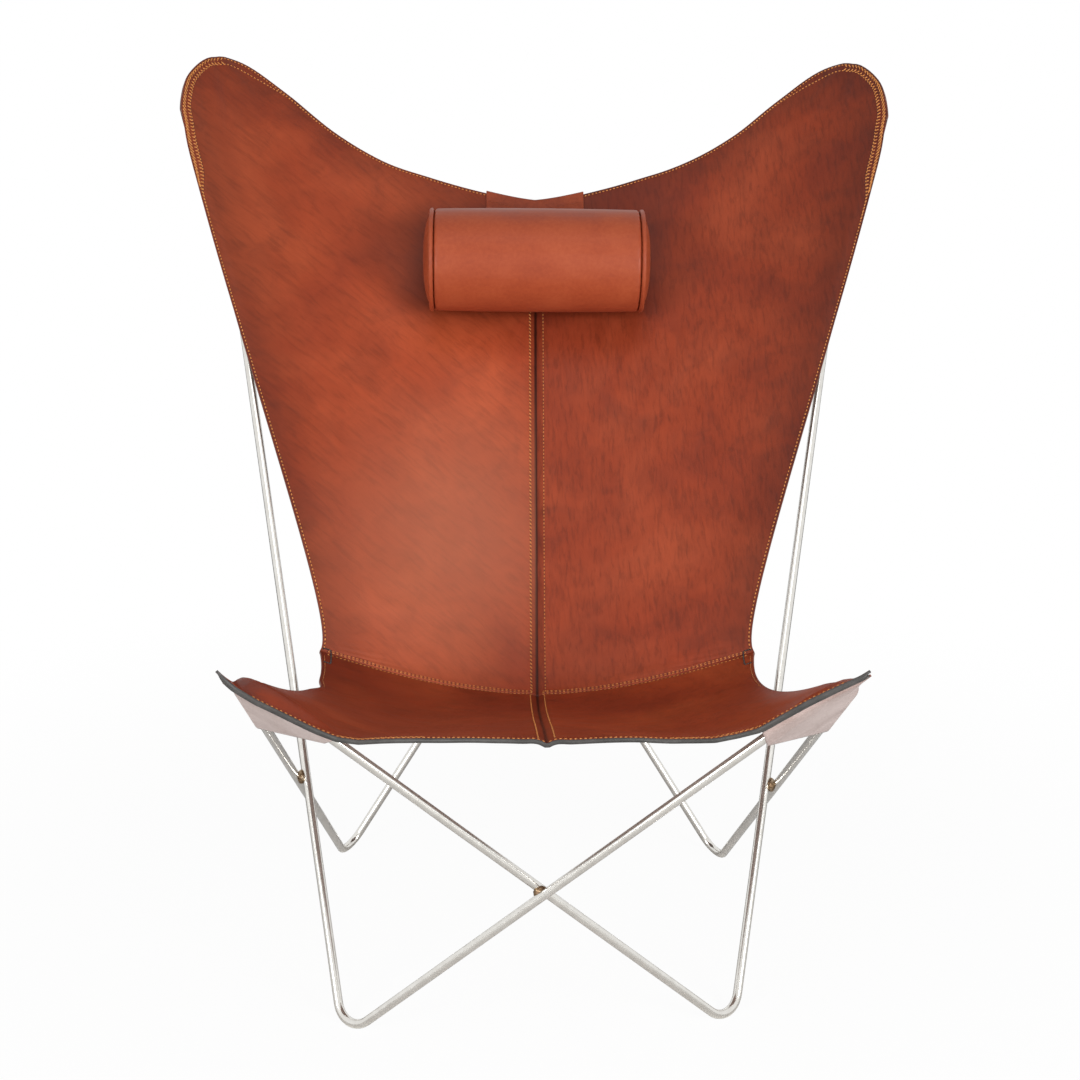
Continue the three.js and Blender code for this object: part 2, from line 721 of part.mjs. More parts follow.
// The roll's axis stands off far enough to clear the panels at its ends and the band in its middle,
// at rest and at the bottom of its travel.
function settleRoll() {
  const samples = 24;
  const liftStep = jointGap / 2;
  const axis = restTouch.clone().addScaledVector(offBack, rollRadius + leatherThickness / 2);
  const clearOf = (centre) => {
    let least = Infinity;
    for (let i = 0; i <= samples; i++) {
      const x = ((rollLength / 2 + capBulge) * i) / samples;
      const lift = x < bandWidth / 2 ? leatherThickness / 2 + bandThickness + jointGap : leatherThickness / 2;
      for (let j = -samples; j <= samples; j++) {
        const along = restShare + (j * restShare) / samples / 2;
        const face = slingPoint(x, along).addScaledVector(slingNormal(x, along), lift);
        least = Math.min(least, Math.hypot(face.y - centre.y, face.z - centre.z));
      }
    }
    return least - rollRadius - rollCrown;
  };
  const tightest = () => Math.min(
    clearOf(axis), clearOf(axis.clone().addScaledVector(slideDown, rollTravel)),
  );
  while (tightest() < jointGap) axis.addScaledVector(offBack, liftStep);
  return axis;
}

const rollAxis = settleRoll();

function latheAlongX(profile, segments) {
  const points = profile.map(([radius, x]) => new THREE.Vector2(radius, x));
  const geometry = new THREE.LatheGeometry(points, segments);
  geometry.rotateZ(-Math.PI / 2);
  geometry.translate(rollAxis.x, rollAxis.y, rollAxis.z);
  return facingOut(mergeVertices(stripped(geometry)));
}

function stripped(geometry) {
  geometry.deleteAttribute('normal');
  geometry.deleteAttribute('uv');
  return geometry;
}

function addRoll() {
  const segments = 28;
  const coverHalf = rollLength / 2 - pipingDiameter / 2;
  const crownAt = (share) => rollRadius + rollCrown * (1 - share ** 2);
  const outside = [];
  const inside = [];
  const steps = 6;
  for (let i = 0; i <= steps; i++) {
    const share = lerp(-1, 1, i / steps);
    outside.push([crownAt(share), share * coverHalf]);
    inside.unshift([crownAt(share) - liningThickness, share * coverHalf]);
  }
  const closed = [...outside, ...inside, outside[0]];
  addPiece('roll_cover', latheAlongX(closed, segments), 'roll');
  addPiece('roll_core', latheAlongX([
    [0, -coverHalf],
    ...inside.slice().reverse().map(([radius, x]) => [radius - coreGap, x]),
    [0, coverHalf],
  ], segments), 'foam');
  for (const [side, sign] of Object.entries(sides)) {
    addCap(side, sign, coverHalf, segments);
  }
}

// Each end is a bulged cap with a round piping sewn in between it and the cover.
function addCap(side, sign, coverHalf, segments) {
  const pipingRadius = pipingDiameter / 2;
  const start = coverHalf + jointGap;
  const pipingAxis = start + pipingRadius;
  const pipingSides = 6;
  const ring = [];
  for (let i = 0; i <= pipingSides; i++) {
    const angle = (2 * Math.PI * i) / pipingSides;
    ring.push([
      rollRadius - pipingRadius + pipingRadius * Math.cos(angle),
      sign * (pipingAxis + pipingRadius * Math.sin(angle)),
    ]);
  }
  addPiece(`roll_piping_${side}`, latheAlongX(ring, segments), 'roll');
  const capRadius = rollRadius - pipingDiameter - jointGap;
  const dome = [[0, sign * start]];
  const domeSteps = 6;
  dome.push([capRadius, sign * start]);
  for (let i = 0; i <= domeSteps; i++) {
    const angle = (Math.PI / 2) * (i / domeSteps);
    dome.push([capRadius * Math.cos(angle), sign * (start + pipingRadius + capBulge * Math.sin(angle))]);
  }
  dome[dome.length - 1][0] = 0;
  addPiece(`roll_cap_${side}`, latheAlongX(dome, segments), 'roll');
}

// Band over the top edge, in three stretches: on the back, over the edge, and hanging behind

const bandRadius = bandPitch;
const bandHalf = { outer: bandThickness / 2, inner: -bandThickness / 2 };

function edgeFrame(x) {
  const column = (Math.asin(Math.abs(x) / halfWidthAt(topEdgeShares[0])) * 2) / Math.PI;
  const along = topEdgeAt(column);
  const point = slingPoint(x, along);
  const out = slingNormal(0, topEdgeShares[0]);
  const up = new THREE.Vector3(1, 0, 0).cross(out).normalize();
  if (up.z < 0) up.negate();
  return { point, out, up, along };
}

const bandEdge = edgeFrame(0);
const hangAngle = Math.acos(-bandEdge.up.z);
const bandOverReach = 12;

function bandOverPoint(x, share) {
  const { point, out, up } = edgeFrame(x);
  const arc = bandRadius * hangAngle;
  const place = lerp(-bandOverReach, arc + bandOverReach, share);
  const angle = clamp(place / bandRadius, 0, hangAngle);
  const result = point.clone().addScaledVector(out, bandRadius * Math.cos(angle));
  result.addScaledVector(up, bandRadius * Math.sin(angle));
  if (place < 0) result.addScaledVector(up, place);
  if (place > arc) result.z -= place - arc;
  return result;
}

function bandOverNormal(share) {
  const { out, up } = bandEdge;
  const arc = bandRadius * hangAngle;
  const place = lerp(-bandOverReach, arc + bandOverReach, share);
  const angle = clamp(place / bandRadius, 0, hangAngle);
  return out.clone().multiplyScalar(Math.cos(angle)).addScaledVector(up, Math.sin(angle));
}

const pouchTop = bandEdge.point.z - pouchDrop;

function addBand() {
  const across = (a) => lerp(-bandWidth / 2, bandWidth / 2, a);
  const over = sheetGeometry({
    pointAt: (a, b) => bandOverPoint(across(a), b),
    normalAt: (a, b) => bandOverNormal(b),
    columns: 10, rows: 14, ...bandHalf,
  });
  addPiece('band_over_edge', over, 'roll');

  const frontPlace = (a, b) => {
    const x = across(a);
    const { along } = edgeFrame(x);
    const length = slingPoint(x, along).distanceTo(slingPoint(x, restShare));
    const top = lerp(along, restShare, (bandOverReach + jointGap) / length);
    const bottom = restShare - (along - restShare) * (bandFrontReach / length);
    return [x, lerp(bottom, top, b)];
  };
  // The band runs straight from the top edge to the line where it is sewn to the roll.
  const sewnAt = rollAxis.dot(offBack) - rollRadius - rollCrown - jointGap - bandThickness / 2;
  const sewnRow = 1 / 6;
  const frontPoint = (a, b) => {
    const onBack = (row) => {
      const place = frontPlace(a, row);
      return slingPoint(...place).addScaledVector(slingNormal(...place), bandPitch);
    };
    const lean = sewnAt - onBack(sewnRow).dot(offBack);
    return onBack(b).addScaledVector(offBack, lean * Math.min(1, (1 - b) / (1 - sewnRow)));
  };
  const front = sheetGeometry({
    pointAt: frontPoint, normalAt: (a, b) => slingNormal(...frontPlace(a, b)), columns: 10, rows: 6, ...bandHalf,
  });
  addPiece('band_front', front, 'roll');

  const rear = sheetGeometry({
    pointAt: (a, b) => {
      const top = bandOverPoint(across(a), 1);
      top.z -= jointGap;
      const bottom = top.clone().setZ(pouchTop + jointGap);
      bottom.y = rearBandDepth();
      return top.lerp(bottom, b);
    },
    normalAt: () => new THREE.Vector3(0, 1, 0),
    columns: 10, rows: 6, ...bandHalf,
  });
  addPiece('band_rear', rear, 'roll');
}

function rearBandDepth() {
  return bandOverPoint(0, 1).y;
}

// Counterweight: a sewn pouch, open at its two ends, round a flat steel bar

function roundedOblong(width, height, radius) {
  const shape = new THREE.Shape();
  const [w, h] = [width / 2, height / 2];
  shape.moveTo(-w + radius, -h);
  shape.lineTo(w - radius, -h);
  shape.absarc(w - radius, -h + radius, radius, -Math.PI / 2, 0);
  shape.lineTo(w, h - radius);
  shape.absarc(w - radius, h - radius, radius, 0, Math.PI / 2);
  shape.lineTo(-w + radius, h);
  shape.absarc(-w + radius, h - radius, radius, Math.PI / 2, Math.PI);
  shape.lineTo(-w, -h + radius);
  shape.absarc(-w + radius, -h + radius, radius, Math.PI, 1.5 * Math.PI);
  return shape;
}

function alongX(shape, length) {
  const geometry = new THREE.ExtrudeGeometry(shape, { depth: length, bevelEnabled: false, curveSegments: 6 });
  geometry.translate(0, 0, -length / 2);
  geometry.rotateY(Math.PI / 2);
  geometry.rotateX(Math.PI / 2);
  geometry.translate(0, rearBandDepth(), pouchTop - pouchHeight / 2);
  return geometry;
}

function addCounterweight() {
  const cornerRadius = pouchDepth / 3;
  const inset = bandThickness + jointGap;
  const pouch = roundedOblong(pouchDepth, pouchHeight, cornerRadius);
  const pocket = roundedOblong(
    pouchDepth - 2 * bandThickness, pouchHeight - 2 * bandThickness, cornerRadius - bandThickness,
  );
  pouch.holes.push(pocket);
  addPiece('counterweight_pouch', alongX(pouch, pouchWidth), 'roll');
  const bar = roundedOblong(pouchDepth - 2 * inset, pouchHeight - 2 * inset, cornerRadius - inset);
  addPiece('counterweight_bar', alongX(bar, barLength), 'steel');
}

addRods();
addBends();
addWelds();
addPanels();
addStrips();
addWingPockets();
addSeatPockets();
addRoll();
addBand();
addCounterweight();

const bounds = new THREE.Box3().setFromObject(chair);
const footprint = bounds.getCenter(new THREE.Vector3());
chair.position.set(-footprint.x, -footprint.y, -bounds.min.z);

export default chair;
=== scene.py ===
from math import acos, asin, atan2, cos, exp, hypot, pi, radians, sin, sqrt
import bpy
import bmesh
from mathutils import Matrix, Vector, noise
from mathutils.geometry import intersect_point_line


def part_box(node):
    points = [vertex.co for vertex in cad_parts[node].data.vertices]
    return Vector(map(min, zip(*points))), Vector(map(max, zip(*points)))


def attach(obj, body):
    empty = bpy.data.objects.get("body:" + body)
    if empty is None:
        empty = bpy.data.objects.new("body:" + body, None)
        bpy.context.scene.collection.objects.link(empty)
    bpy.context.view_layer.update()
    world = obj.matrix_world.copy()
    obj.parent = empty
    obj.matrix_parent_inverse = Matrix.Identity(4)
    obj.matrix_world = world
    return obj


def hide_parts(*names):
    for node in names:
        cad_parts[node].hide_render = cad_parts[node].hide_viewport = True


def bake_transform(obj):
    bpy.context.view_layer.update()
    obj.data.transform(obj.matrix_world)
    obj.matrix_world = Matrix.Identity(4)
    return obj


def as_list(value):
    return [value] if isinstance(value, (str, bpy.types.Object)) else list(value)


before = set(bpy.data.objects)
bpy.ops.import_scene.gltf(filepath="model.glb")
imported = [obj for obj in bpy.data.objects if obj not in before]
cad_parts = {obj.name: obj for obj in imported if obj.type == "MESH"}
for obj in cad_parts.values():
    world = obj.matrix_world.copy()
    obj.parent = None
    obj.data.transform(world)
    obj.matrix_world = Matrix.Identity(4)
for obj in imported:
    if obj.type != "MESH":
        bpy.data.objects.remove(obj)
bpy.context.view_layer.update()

print("chair: frame loaded")

# Lengths below are millimetres, measured from the line of the front feet. toScene puts a point in its place.
layout = {"unit": 0.001, "depthShift": -277.46, "joined": 2e-5,
          "sides": (("Left", -1, "Right"), ("Right", 1, "Left"))}
unit = layout["unit"]


def toScene(point):
    return Vector((point[0], point[1] + layout["depthShift"], point[2])) * unit


def lerp(a, b, share):
    return a + (b - a) * share


def clamp(value, low=0.0, high=1.0):
    return min(max(value, low), high)


def smoothstep(value, low, high):
    share = clamp((value - low) / (high - low))
    return share * share * (3 - 2 * share)


def bell(distance, width):
    return exp(-(distance / width) ** 2)


# ---- materials

def colour(hexText):
    # sRGB hex to linear light
    channels = [int(hexText[i:i + 2], 16) / 255 for i in (0, 2, 4)]
    return tuple(c / 12.92 if c <= 0.04045 else ((c + 0.055) / 1.055) ** 2.4 for c in channels) + (1.0,)


def addNode(tree, kind, inputs=None, **settings):
    node = tree.nodes.new("ShaderNode" + kind)
    for name, value in settings.items():
        setattr(node, name, value)
    for name, value in (inputs or {}).items():
        if isinstance(value, bpy.types.NodeSocket):
            tree.links.new(value, node.inputs[name])
        else:
            node.inputs[name].default_value = value
    return node


class Finish:
    # a material in the making: its nodes, its shader and the coordinates of the piece
    def __init__(self, name, **sockets):
        self.material = bpy.data.materials.new(name)
        self.material.use_nodes = True
        self.tree = self.material.node_tree
        self.tree.nodes.clear()
        self.shader = addNode(self.tree, "BsdfPrincipled")
        self.output = self.add("OutputMaterial", {"Surface": self.shader.outputs["BSDF"]})
        self.place = self.add("TexCoord").outputs["Object"]
        for key, value in sockets.items():
            self.shader.inputs[key.replace("_", " ")].default_value = value

    def add(self, kind, inputs=None, **settings):
        return addNode(self.tree, kind, inputs, **settings)

    def wire(self, value, name):
        self.tree.links.new(value, self.shader.inputs[name])

    def noise(self, scale, detail, roughness=0.5, distortion=0.0, vector=None):
        return self.add("TexNoise", {"Vector": vector or self.place, "Scale": scale, "Detail": detail,
                                     "Roughness": roughness, "Distortion": distortion}).outputs["Fac"]

    def moved(self, vector, **inputs):
        return self.add("Mapping", {"Vector": vector, **inputs}).outputs[0]

    def math(self, operation, first, second=0.0):
        return self.add("Math", {0: first, 1: second}, operation=operation).outputs[0]

    def mean(self, first, second):
        return self.math("MULTIPLY", self.math("ADD", first, second), 0.5)

    def length(self, vector):
        return self.add("VectorMath", {0: vector}, operation="LENGTH").outputs["Value"]

    def attribute(self, name):
        return self.add("Attribute", attribute_name=name, attribute_type="GEOMETRY").outputs["Fac"]

    def rescale(self, value, span, result, kind="LINEAR"):
        return self.add("MapRange", {
            "Value": value, "From Min": span[0], "From Max": span[1],
            "To Min": result[0], "To Max": result[1]},
            interpolation_type=kind).outputs["Result"]

    def ramp(self, factor, stops):
        node = self.add("ValToRGB", {"Fac": factor})
        elements = node.color_ramp.elements
        while len(elements) < len(stops):
            elements.new(0.5)
        for element, (place, shade) in zip(elements, stops):
            element.position = place
            element.color = colour(shade) if isinstance(shade, str) else (shade, shade, shade, 1.0)
        return node.outputs["Color"]

    def blend(self, factor, first, second, kind="MIX"):
        return self.add("Mix", {0: factor, 6: first, 7: second}, data_type="RGBA", blend_type=kind).outputs[2]

    def shaded(self, base, shade):
        return self.blend(1.0, base, shade, "MULTIPLY")

    def bump(self, *layers):
        # each as its height, strength and depth in metres, the finest first
        below = {}
        for height, strength, depth in layers:
            node = self.add("Bump", {"Height": height, "Strength": strength, "Distance": depth, **below})
            below = {"Normal": node.outputs["Normal"]}
        self.wire(below["Normal"], "Normal")


# Vegetable-tanned cowhide, waxed and drum dyed: broad soft clouds, fine drawn-out fibres, a pore grain too
# fine to count, and a darker burnished strip along the cut edges and the centre seam. Painted into the colour
# as well: shade towards the wings and edges, shadow in the centre seam and round the neck roll, and a sheen.
hide = {
    "cloudSize": 0.19, "patchSize": 0.045, "fibreSize": 0.0045, "poreSize": 0.0013, "fibreStretch": 0.11,
    "flank": (0.16, 0.47), "roughness": (0.40, 0.50), "edgeReach": 130.0,
    # where the roll rests, and the reach and colour of the shadow painted round it
    "rollSide": 0.128, "rollHeight": 0.768, "rollReach": 0.026, "paintedRollShadowReach": 0.074, "paintedRollShadow": "451204",
    # where the painted sheen lies on the left back, its spread and its colour
    "paintedSheenAt": (0.55, 0.0, -2.35), "paintedSheenScale": (5.2, 0.0, 5.2), "paintedSheenReach": (1.15, 0.1), "wax": "c07a5e",
}


def waxedCowhide(name, tones, fibreTurn, fibreDepth, patchDepth, paintedFlankShade, seed, burnishAndEdgeShade,
                 paintedSheen=0.0, paintedRollShadow=0.0):
    finish = Finish(name, IOR=1.48, Specular_IOR_Level=0.24)
    shifted = finish.moved(finish.place, Location=(seed, seed * 1.7, seed * 0.6))
    clouds = finish.noise(1 / hide["cloudSize"], 3.0, 0.5, 0.6, shifted)
    patches = finish.noise(1 / hide["patchSize"], 6.0, 0.6, 0.8, shifted)
    turned = finish.moved(shifted, Rotation=(0.0, fibreTurn, 0.0))
    drawnOut = finish.moved(turned, Scale=(1.0, 0.3, hide["fibreStretch"]))
    fibres = finish.noise(1 / hide["fibreSize"], 4.0, 0.62, 0.5, drawnOut)
    base = finish.ramp(clouds, list(zip((0.32, 0.5, 0.68), tones)))
    # clouds within clouds, where the dye took unevenly
    patchStops = [(0.30, 1 - patchDepth), (0.52, 1.0), (0.72, 1 + patchDepth * 0.5)]
    base = finish.shaded(base, finish.ramp(patches, patchStops))
    fibreStops = [(0.34, 1 - fibreDepth), (0.5, 1.0), (0.7, 1 + fibreDepth * 0.4)]
    base = finish.shaded(base, finish.ramp(fibres, fibreStops))
    # darker out towards the wings: painted shade, where the wings turn away from the light
    parts = finish.add("SeparateXYZ", {"Vector": finish.place}).outputs
    aside = finish.math("ABSOLUTE", parts["X"])
    base = finish.shaded(base, finish.rescale(aside, hide["flank"], (1.0, paintedFlankShade), "SMOOTHSTEP"))
    # the last millimetres before a cut edge are burnished darker; further in, over some 130 mm, painted shade
    # darkens the hide towards its edges
    edgeStops = [(0.0, burnishAndEdgeShade * 0.64), (0.03, burnishAndEdgeShade * 0.94), (0.1, burnishAndEdgeShade),
                 (0.3, (burnishAndEdgeShade + 1) / 2 - 0.02),
                 (0.55, 0.95), (1.0, 1.0)]
    nearEdge = finish.math("MULTIPLY", finish.attribute("edgeMm"), 1 / hide["edgeReach"])
    base = finish.shaded(base, finish.ramp(nearEdge, edgeStops))
    # the turned-in leather beside the centre seam, and the dark line where the halves meet: burnish, with
    # painted shadow in the seam's valley
    seamStops = [(0.0, 0.10), (0.07, 0.22), (0.11, 0.74), (0.38, 0.84), (0.45, 1.0)]
    base = finish.shaded(base, finish.ramp(finish.math("MULTIPLY", aside, 50.0), seamStops))
    if paintedRollShadow:
        # painted shadow of the neck roll: round the roll's rest place the hide is blended towards a dark red,
        # standing for the shadow beside and under it
        above = finish.math("ABSOLUTE", finish.math("SUBTRACT", parts["Z"], hide["rollHeight"]))
        outside = [finish.math("MAXIMUM", finish.math("SUBTRACT", place, hide[reach]))
                   for place, reach in ((aside, "rollSide"), (above, "rollReach"))]
        away = finish.length(finish.add("CombineXYZ", dict(zip("XY", outside))).outputs[0])
        strength = finish.rescale(away, (hide["paintedRollShadowReach"], 0.0), (0.0, paintedRollShadow), "SMOOTHSTEP")
        base = finish.blend(strength, base, colour(hide["paintedRollShadow"]))
    if paintedSheen:
        # painted sheen: a paler, greyer patch low on the left back stands for the lamps' glossy reflection
        # there, blended in by the share named waxed
        centred = finish.moved(finish.place, Location=hide["paintedSheenAt"], Scale=hide["paintedSheenScale"])
        waxed = finish.rescale(finish.length(centred), hide["paintedSheenReach"], (0.0, paintedSheen), "SMOOTHSTEP")
        base = finish.blend(waxed, base, colour(hide["wax"]))
    finish.wire(base, "Base Color")
    finish.wire(finish.rescale(patches, (0.3, 0.7), hide["roughness"]), "Roughness")
    pores = finish.add("TexVoronoi", {"Vector": shifted, "Scale": 1 / hide["poreSize"]}).outputs["Distance"]
    finish.bump((pores, 0.12, 0.0003), (fibres, 0.3, 0.0008), (patches, 0.2, 0.003))
    return finish.material


def fleshSide(name, dark, light):
    # the raw back of a hide: pale, matt, with short loose fibres
    finish = Finish(name, Roughness=0.88, Sheen_Weight=0.25, Sheen_Roughness=0.6)
    cloud = finish.noise(14.0, 4.0, distortion=0.5)
    fibre = finish.noise(420.0, 6.0, 0.75)
    finish.wire(finish.ramp(finish.mean(cloud, fibre), [(0.38, dark), (0.62, light)]), "Base Color")
    finish.bump((fibre, 0.35, 0.0006))
    return finish.material


def burnishedEdge(name, waxedTones, inkedTones):
    # cut edges burnished with wax, and along the front inked dark grey: a soft shine with faint layers
    finish = Finish(name, Roughness=0.42)
    grime = finish.noise(60.0, 5.0, 0.65)
    waxed, inked = (finish.ramp(grime, list(zip((0.35, 0.7), tones))) for tones in (waxedTones, inkedTones))
    finish.wire(finish.blend(finish.attribute("inked"), waxed, inked), "Base Color")
    finish.bump((grime, 0.3, 0.0006))
    return finish.material


def rollCowhide(name, dark, middle, light):
    # the same hide split thinner and polished smooth for the roll: even colour, very fine grain
    finish = Finish(name, IOR=1.48, Specular_IOR_Level=0.26)
    clouds = finish.noise(22.0, 4.0, distortion=0.4)
    tone = finish.mean(clouds, finish.noise(210.0, 5.0, 0.65))
    finish.wire(finish.ramp(tone, [(0.36, dark), (0.5, middle), (0.66, light)]), "Base Color")
    finish.wire(finish.rescale(clouds, (0.0, 1.0), (0.36, 0.5)), "Roughness")
    grain = finish.add("TexVoronoi", {"Vector": finish.place, "Scale": 620.0}).outputs["Distance"]
    finish.bump((grain, 0.1, 0.0004), (clouds, 0.2, 0.004))
    return finish.material


def polishedSteel(name, dark, light, roughness):
    # drawn stainless bar, satin polished: a clean bright metal with faint mottling
    finish = Finish(name, Metallic=1.0)
    mottle = finish.noise(90.0, 5.0, 0.6)
    finish.wire(finish.ramp(mottle, [(0.3, dark), (0.7, light)]), "Base Color")
    finish.wire(finish.rescale(mottle, (0.0, 1.0), (roughness - 0.02, roughness + 0.02)), "Roughness")
    finish.bump((mottle, 0.01, 0.0002))
    return finish.material


def heatTintedWeld(name):
    # the bead and the bar beside it: straw and brown oxide over rippled steel
    finish = Finish(name, Metallic=1.0, Roughness=0.42)
    tint = finish.noise(240.0, 4.0)
    finish.wire(finish.ramp(tint, [(0.3, "5d4a3c"), (0.5, "8b7358"), (0.7, "a99a86")]), "Base Color")
    finish.bump((tint, 0.5, 0.0008))
    return finish.material


def linenThread(name, dark, light):
    # waxed linen thread, the twist too fine to show
    finish = Finish(name, Roughness=0.62)
    finish.wire(finish.ramp(finish.noise(500.0, 2.0), [(0.3, dark), (0.7, light)]), "Base Color")
    return finish.material


finishes = {
    "backLeft": waxedCowhide("waxed cowhide, left back", ("92381f", "a34425", "b3502e"), 0.9, 0.17, 0.18,
                             0.84, 0.0, 0.66, paintedSheen=0.40, paintedRollShadow=0.88),
    "backRight": waxedCowhide("waxed cowhide, right back", ("80301b", "923a1f", "a04629"), 0.06, 0.24, 0.20,
                              0.80, 3.1, 0.66, paintedRollShadow=0.7),
    "seatLeft": waxedCowhide("waxed cowhide, left seat", ("82311a", "923b1f", "a34826"), 1.3, 0.14, 0.16,
                             0.97, 6.4, 0.88),
    "seatRight": waxedCowhide("waxed cowhide, right seat", ("8e381e", "a04323", "b0502b"), 1.3, 0.15, 0.17,
                              0.97, 9.2, 0.88),
    "flesh": fleshSide("raw flesh side of the hide", "947a72", "beaaa4"),
    "edge": burnishedEdge("burnished cut edge", ("6b3220", "8a4a30"), ("2f2d2b", "4a4745")),
    "roll": rollCowhide("smooth polished cowhide", "9c452a", "a54b2d", "ac5232"),
    "band": rollCowhide("polished cowhide strap", "84371f", "944024", "a24a2b"),
    "steel": polishedSteel("satin polished stainless bar", "d9d6d0", "e6e4df", 0.17),
    "weld": heatTintedWeld("heat tinted weld"),
    "bar": polishedSteel("mill finished flat steel", "6d6a66", "8c8984", 0.45),
    "thread": linenThread("waxed linen thread", "c07433", "e39a55"),
    # dark dots of painted shade where the needle has pricked the hide
    "paintedHoleShade": linenThread("painted shade in pricked needle holes", "3a130a", "5a2212"),
    "darkThread": linenThread("black bonded thread", "1d1a1a", "3a3432"),
}
print("chair: materials made")


# ---- pieces

def nodeOf(name):
    # the node of the frame that a piece stands for
    return "".join("_" + letter.lower() if letter.isupper() else letter for letter in name)


def boxOf(node):
    return (Vector(corner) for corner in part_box(node))


def addPiece(name, bm, materials, replaced=(), body="chair"):
    for face in bm.faces:
        face.smooth = True
    mesh = bpy.data.meshes.new(name)
    bm.to_mesh(mesh)
    bm.free()
    for material in materials:
        mesh.materials.append(finishes[material])
    piece = bpy.data.objects.new(name, mesh)
    bpy.context.scene.collection.objects.link(piece)
    if replaced:
        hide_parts(*replaced)
    if body:
        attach(piece, body)
    return piece


def addThickness(piece, millimetres, bevel=0.35, offset=0.0):
    solid = piece.modifiers.new("thickness", "SOLIDIFY")
    solid.thickness = millimetres * unit
    solid.offset = offset
    solid.use_even_offset = bevel > 0
    solid.material_offset = 1
    solid.material_offset_rim = 2
    # a pocket drawn in at its tip has no room for eased edges
    if bevel:
        rounded = piece.modifiers.new("eased edges", "BEVEL")
        rounded.width = bevel * unit
        rounded.segments = 2
        rounded.limit_method = "ANGLE"
        rounded.angle_limit = radians(55)
    return piece


# Two crossing loops of bent bar, each one closed
rods = {
    "radius": 5, "ringSides": 28, "bendSteps": 14,
    "bendRadius": {"wing": 20, "seat": 42, "foot": 28},
    "corners": {
        "wingLeft": (-442, 724, 1042), "wingRight": (442, 724, 1042),
        "seatCornerLeft": (-305, -173, 474), "seatCornerRight": (305, -173, 474),
        "frontFootLeft": (-214.40, -9.94, -12.60), "frontFootRight": (214.40, 9.94, -12.60),
        "rearFootLeft": (-250, 465.88, -11.91), "rearFootRight": (250, 448.12, -11.91),
    },
    "loops": {
        "leftWingLoop": ["frontFootLeft", "wingLeft", "rearFootRight", "seatCornerRight"],
        "rightWingLoop": ["frontFootRight", "wingRight", "rearFootLeft", "seatCornerLeft"],
    },
    # what each loop stands for, in its order: on its own side, then across, and back at its front foot
    "parts": (["side_rod", "wing_bend", "rear_rod"], ["rear_foot", "seat_rod", "seat_bend", "front_rod"],
              ["front_foot"]),
}


def cornerPoint(name):
    return Vector(rods["corners"][name])


def planeOf(corner, first, second):
    origin = cornerPoint(corner)
    normal = (cornerPoint(first) - origin).cross(cornerPoint(second) - origin).normalized()
    return origin, normal if normal.z > 0 else -normal


def bendAt(before, corner, after):
    middle = cornerPoint(corner)
    toBefore = (cornerPoint(before) - middle).normalized()
    toAfter = (cornerPoint(after) - middle).normalized()
    half = toBefore.angle(toAfter) / 2
    radius = rods["bendRadius"]["foot" if "Foot" in corner else corner[:4]]
    return {
        "start": middle + toBefore * radius / sin(half) * cos(half),
        "end": middle + toAfter * radius / sin(half) * cos(half),
        "centre": middle + (toBefore + toAfter).normalized() * radius / sin(half),
        "axis": (-toBefore).cross(toAfter).normalized(),
        "angle": pi - 2 * half,
    }


def buildLoop(name, side, opposite):
    stops = rods["loops"][name]
    bm = bmesh.new()
    first, second = cornerPoint(stops[0]), cornerPoint(stops[1])
    place = first.lerp(second, 0.5)
    facing = (second - first).normalized().to_track_quat("Z", "Y").to_matrix().to_4x4()
    bmesh.ops.create_circle(bm, segments=rods["ringSides"], radius=rods["radius"] * unit,
                            matrix=Matrix.Translation(toScene(place)) @ facing)
    ring = list(bm.edges)
    firstRing = list(ring)
    for k in range(1, len(stops) + 1):
        bend = bendAt(stops[k - 1], stops[k % 4], stops[(k + 1) % 4])
        grown = bmesh.ops.extrude_edge_only(bm, edges=ring)["geom"]
        verts = [g for g in grown if isinstance(g, bmesh.types.BMVert)]
        bmesh.ops.translate(bm, verts=verts, vec=(bend["start"] - place) * unit)
        ring = [e for e in {e for v in verts for e in v.link_edges} if all(v in verts for v in e.verts)]
        last = bmesh.ops.spin(bm, geom=verts + ring, cent=toScene(bend["centre"]), axis=bend["axis"],
                              angle=bend["angle"], steps=rods["bendSteps"], use_duplicate=False)["geom_last"]
        ring = [g for g in last if isinstance(g, bmesh.types.BMEdge)]
        place = bend["end"]
    bmesh.ops.bridge_loops(bm, edges=ring + firstRing)
    # the feet are ground flat where they stand on the floor
    cut = bmesh.ops.bisect_plane(bm, geom=bm.verts[:] + bm.edges[:] + bm.faces[:], plane_co=(0, 0, 0),
                                 plane_no=(0, 0, -1), clear_outer=True)["geom_cut"]
    bmesh.ops.holes_fill(bm, edges=[g for g in cut if isinstance(g, bmesh.types.BMEdge)], sides=0)
    bmesh.ops.recalc_face_normals(bm, faces=bm.faces)
    replaced = [f"{part}_{end}" for parts, end in zip(rods["parts"], (side, opposite, side))
                for part in parts]
    addPiece(name, bm, ["steel"], replaced)


buildLoop("leftWingLoop", "left", "right")
buildLoop("rightWingLoop", "right", "left")

# Weld beads: a short worm of metal in each crossing, rippled all over
weld = {"share": 0.97, "ripple": 0.05, "rippleSize": 3.1, "wave": 0.03, "waveTurns": 14}
for weldSide in ("front", "rear", "left", "right"):
    low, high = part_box("weld_" + weldSide)
    middle = (Vector(low) + Vector(high)) / 2
    size = [(b - a) / 2 * weld["share"] for a, b in zip(low, high)]
    bm = bmesh.new()
    bmesh.ops.create_icosphere(bm, subdivisions=4, radius=1.0)
    for v in bm.verts:
        ripple = 1 + weld["ripple"] * noise.noise(v.co * weld["rippleSize"])
        ripple += weld["wave"] * sin(v.co.z * weld["waveTurns"])
        v.co = middle + Vector([a * b for a, b in zip(v.co, size)]) * ripple
    addPiece("weldBead_" + weldSide, bm, ["weld"], ["weld_" + weldSide])
print("chair: steel loops and welds built")


# ---- the sling's surface, worked out from the same lines as the pattern pieces

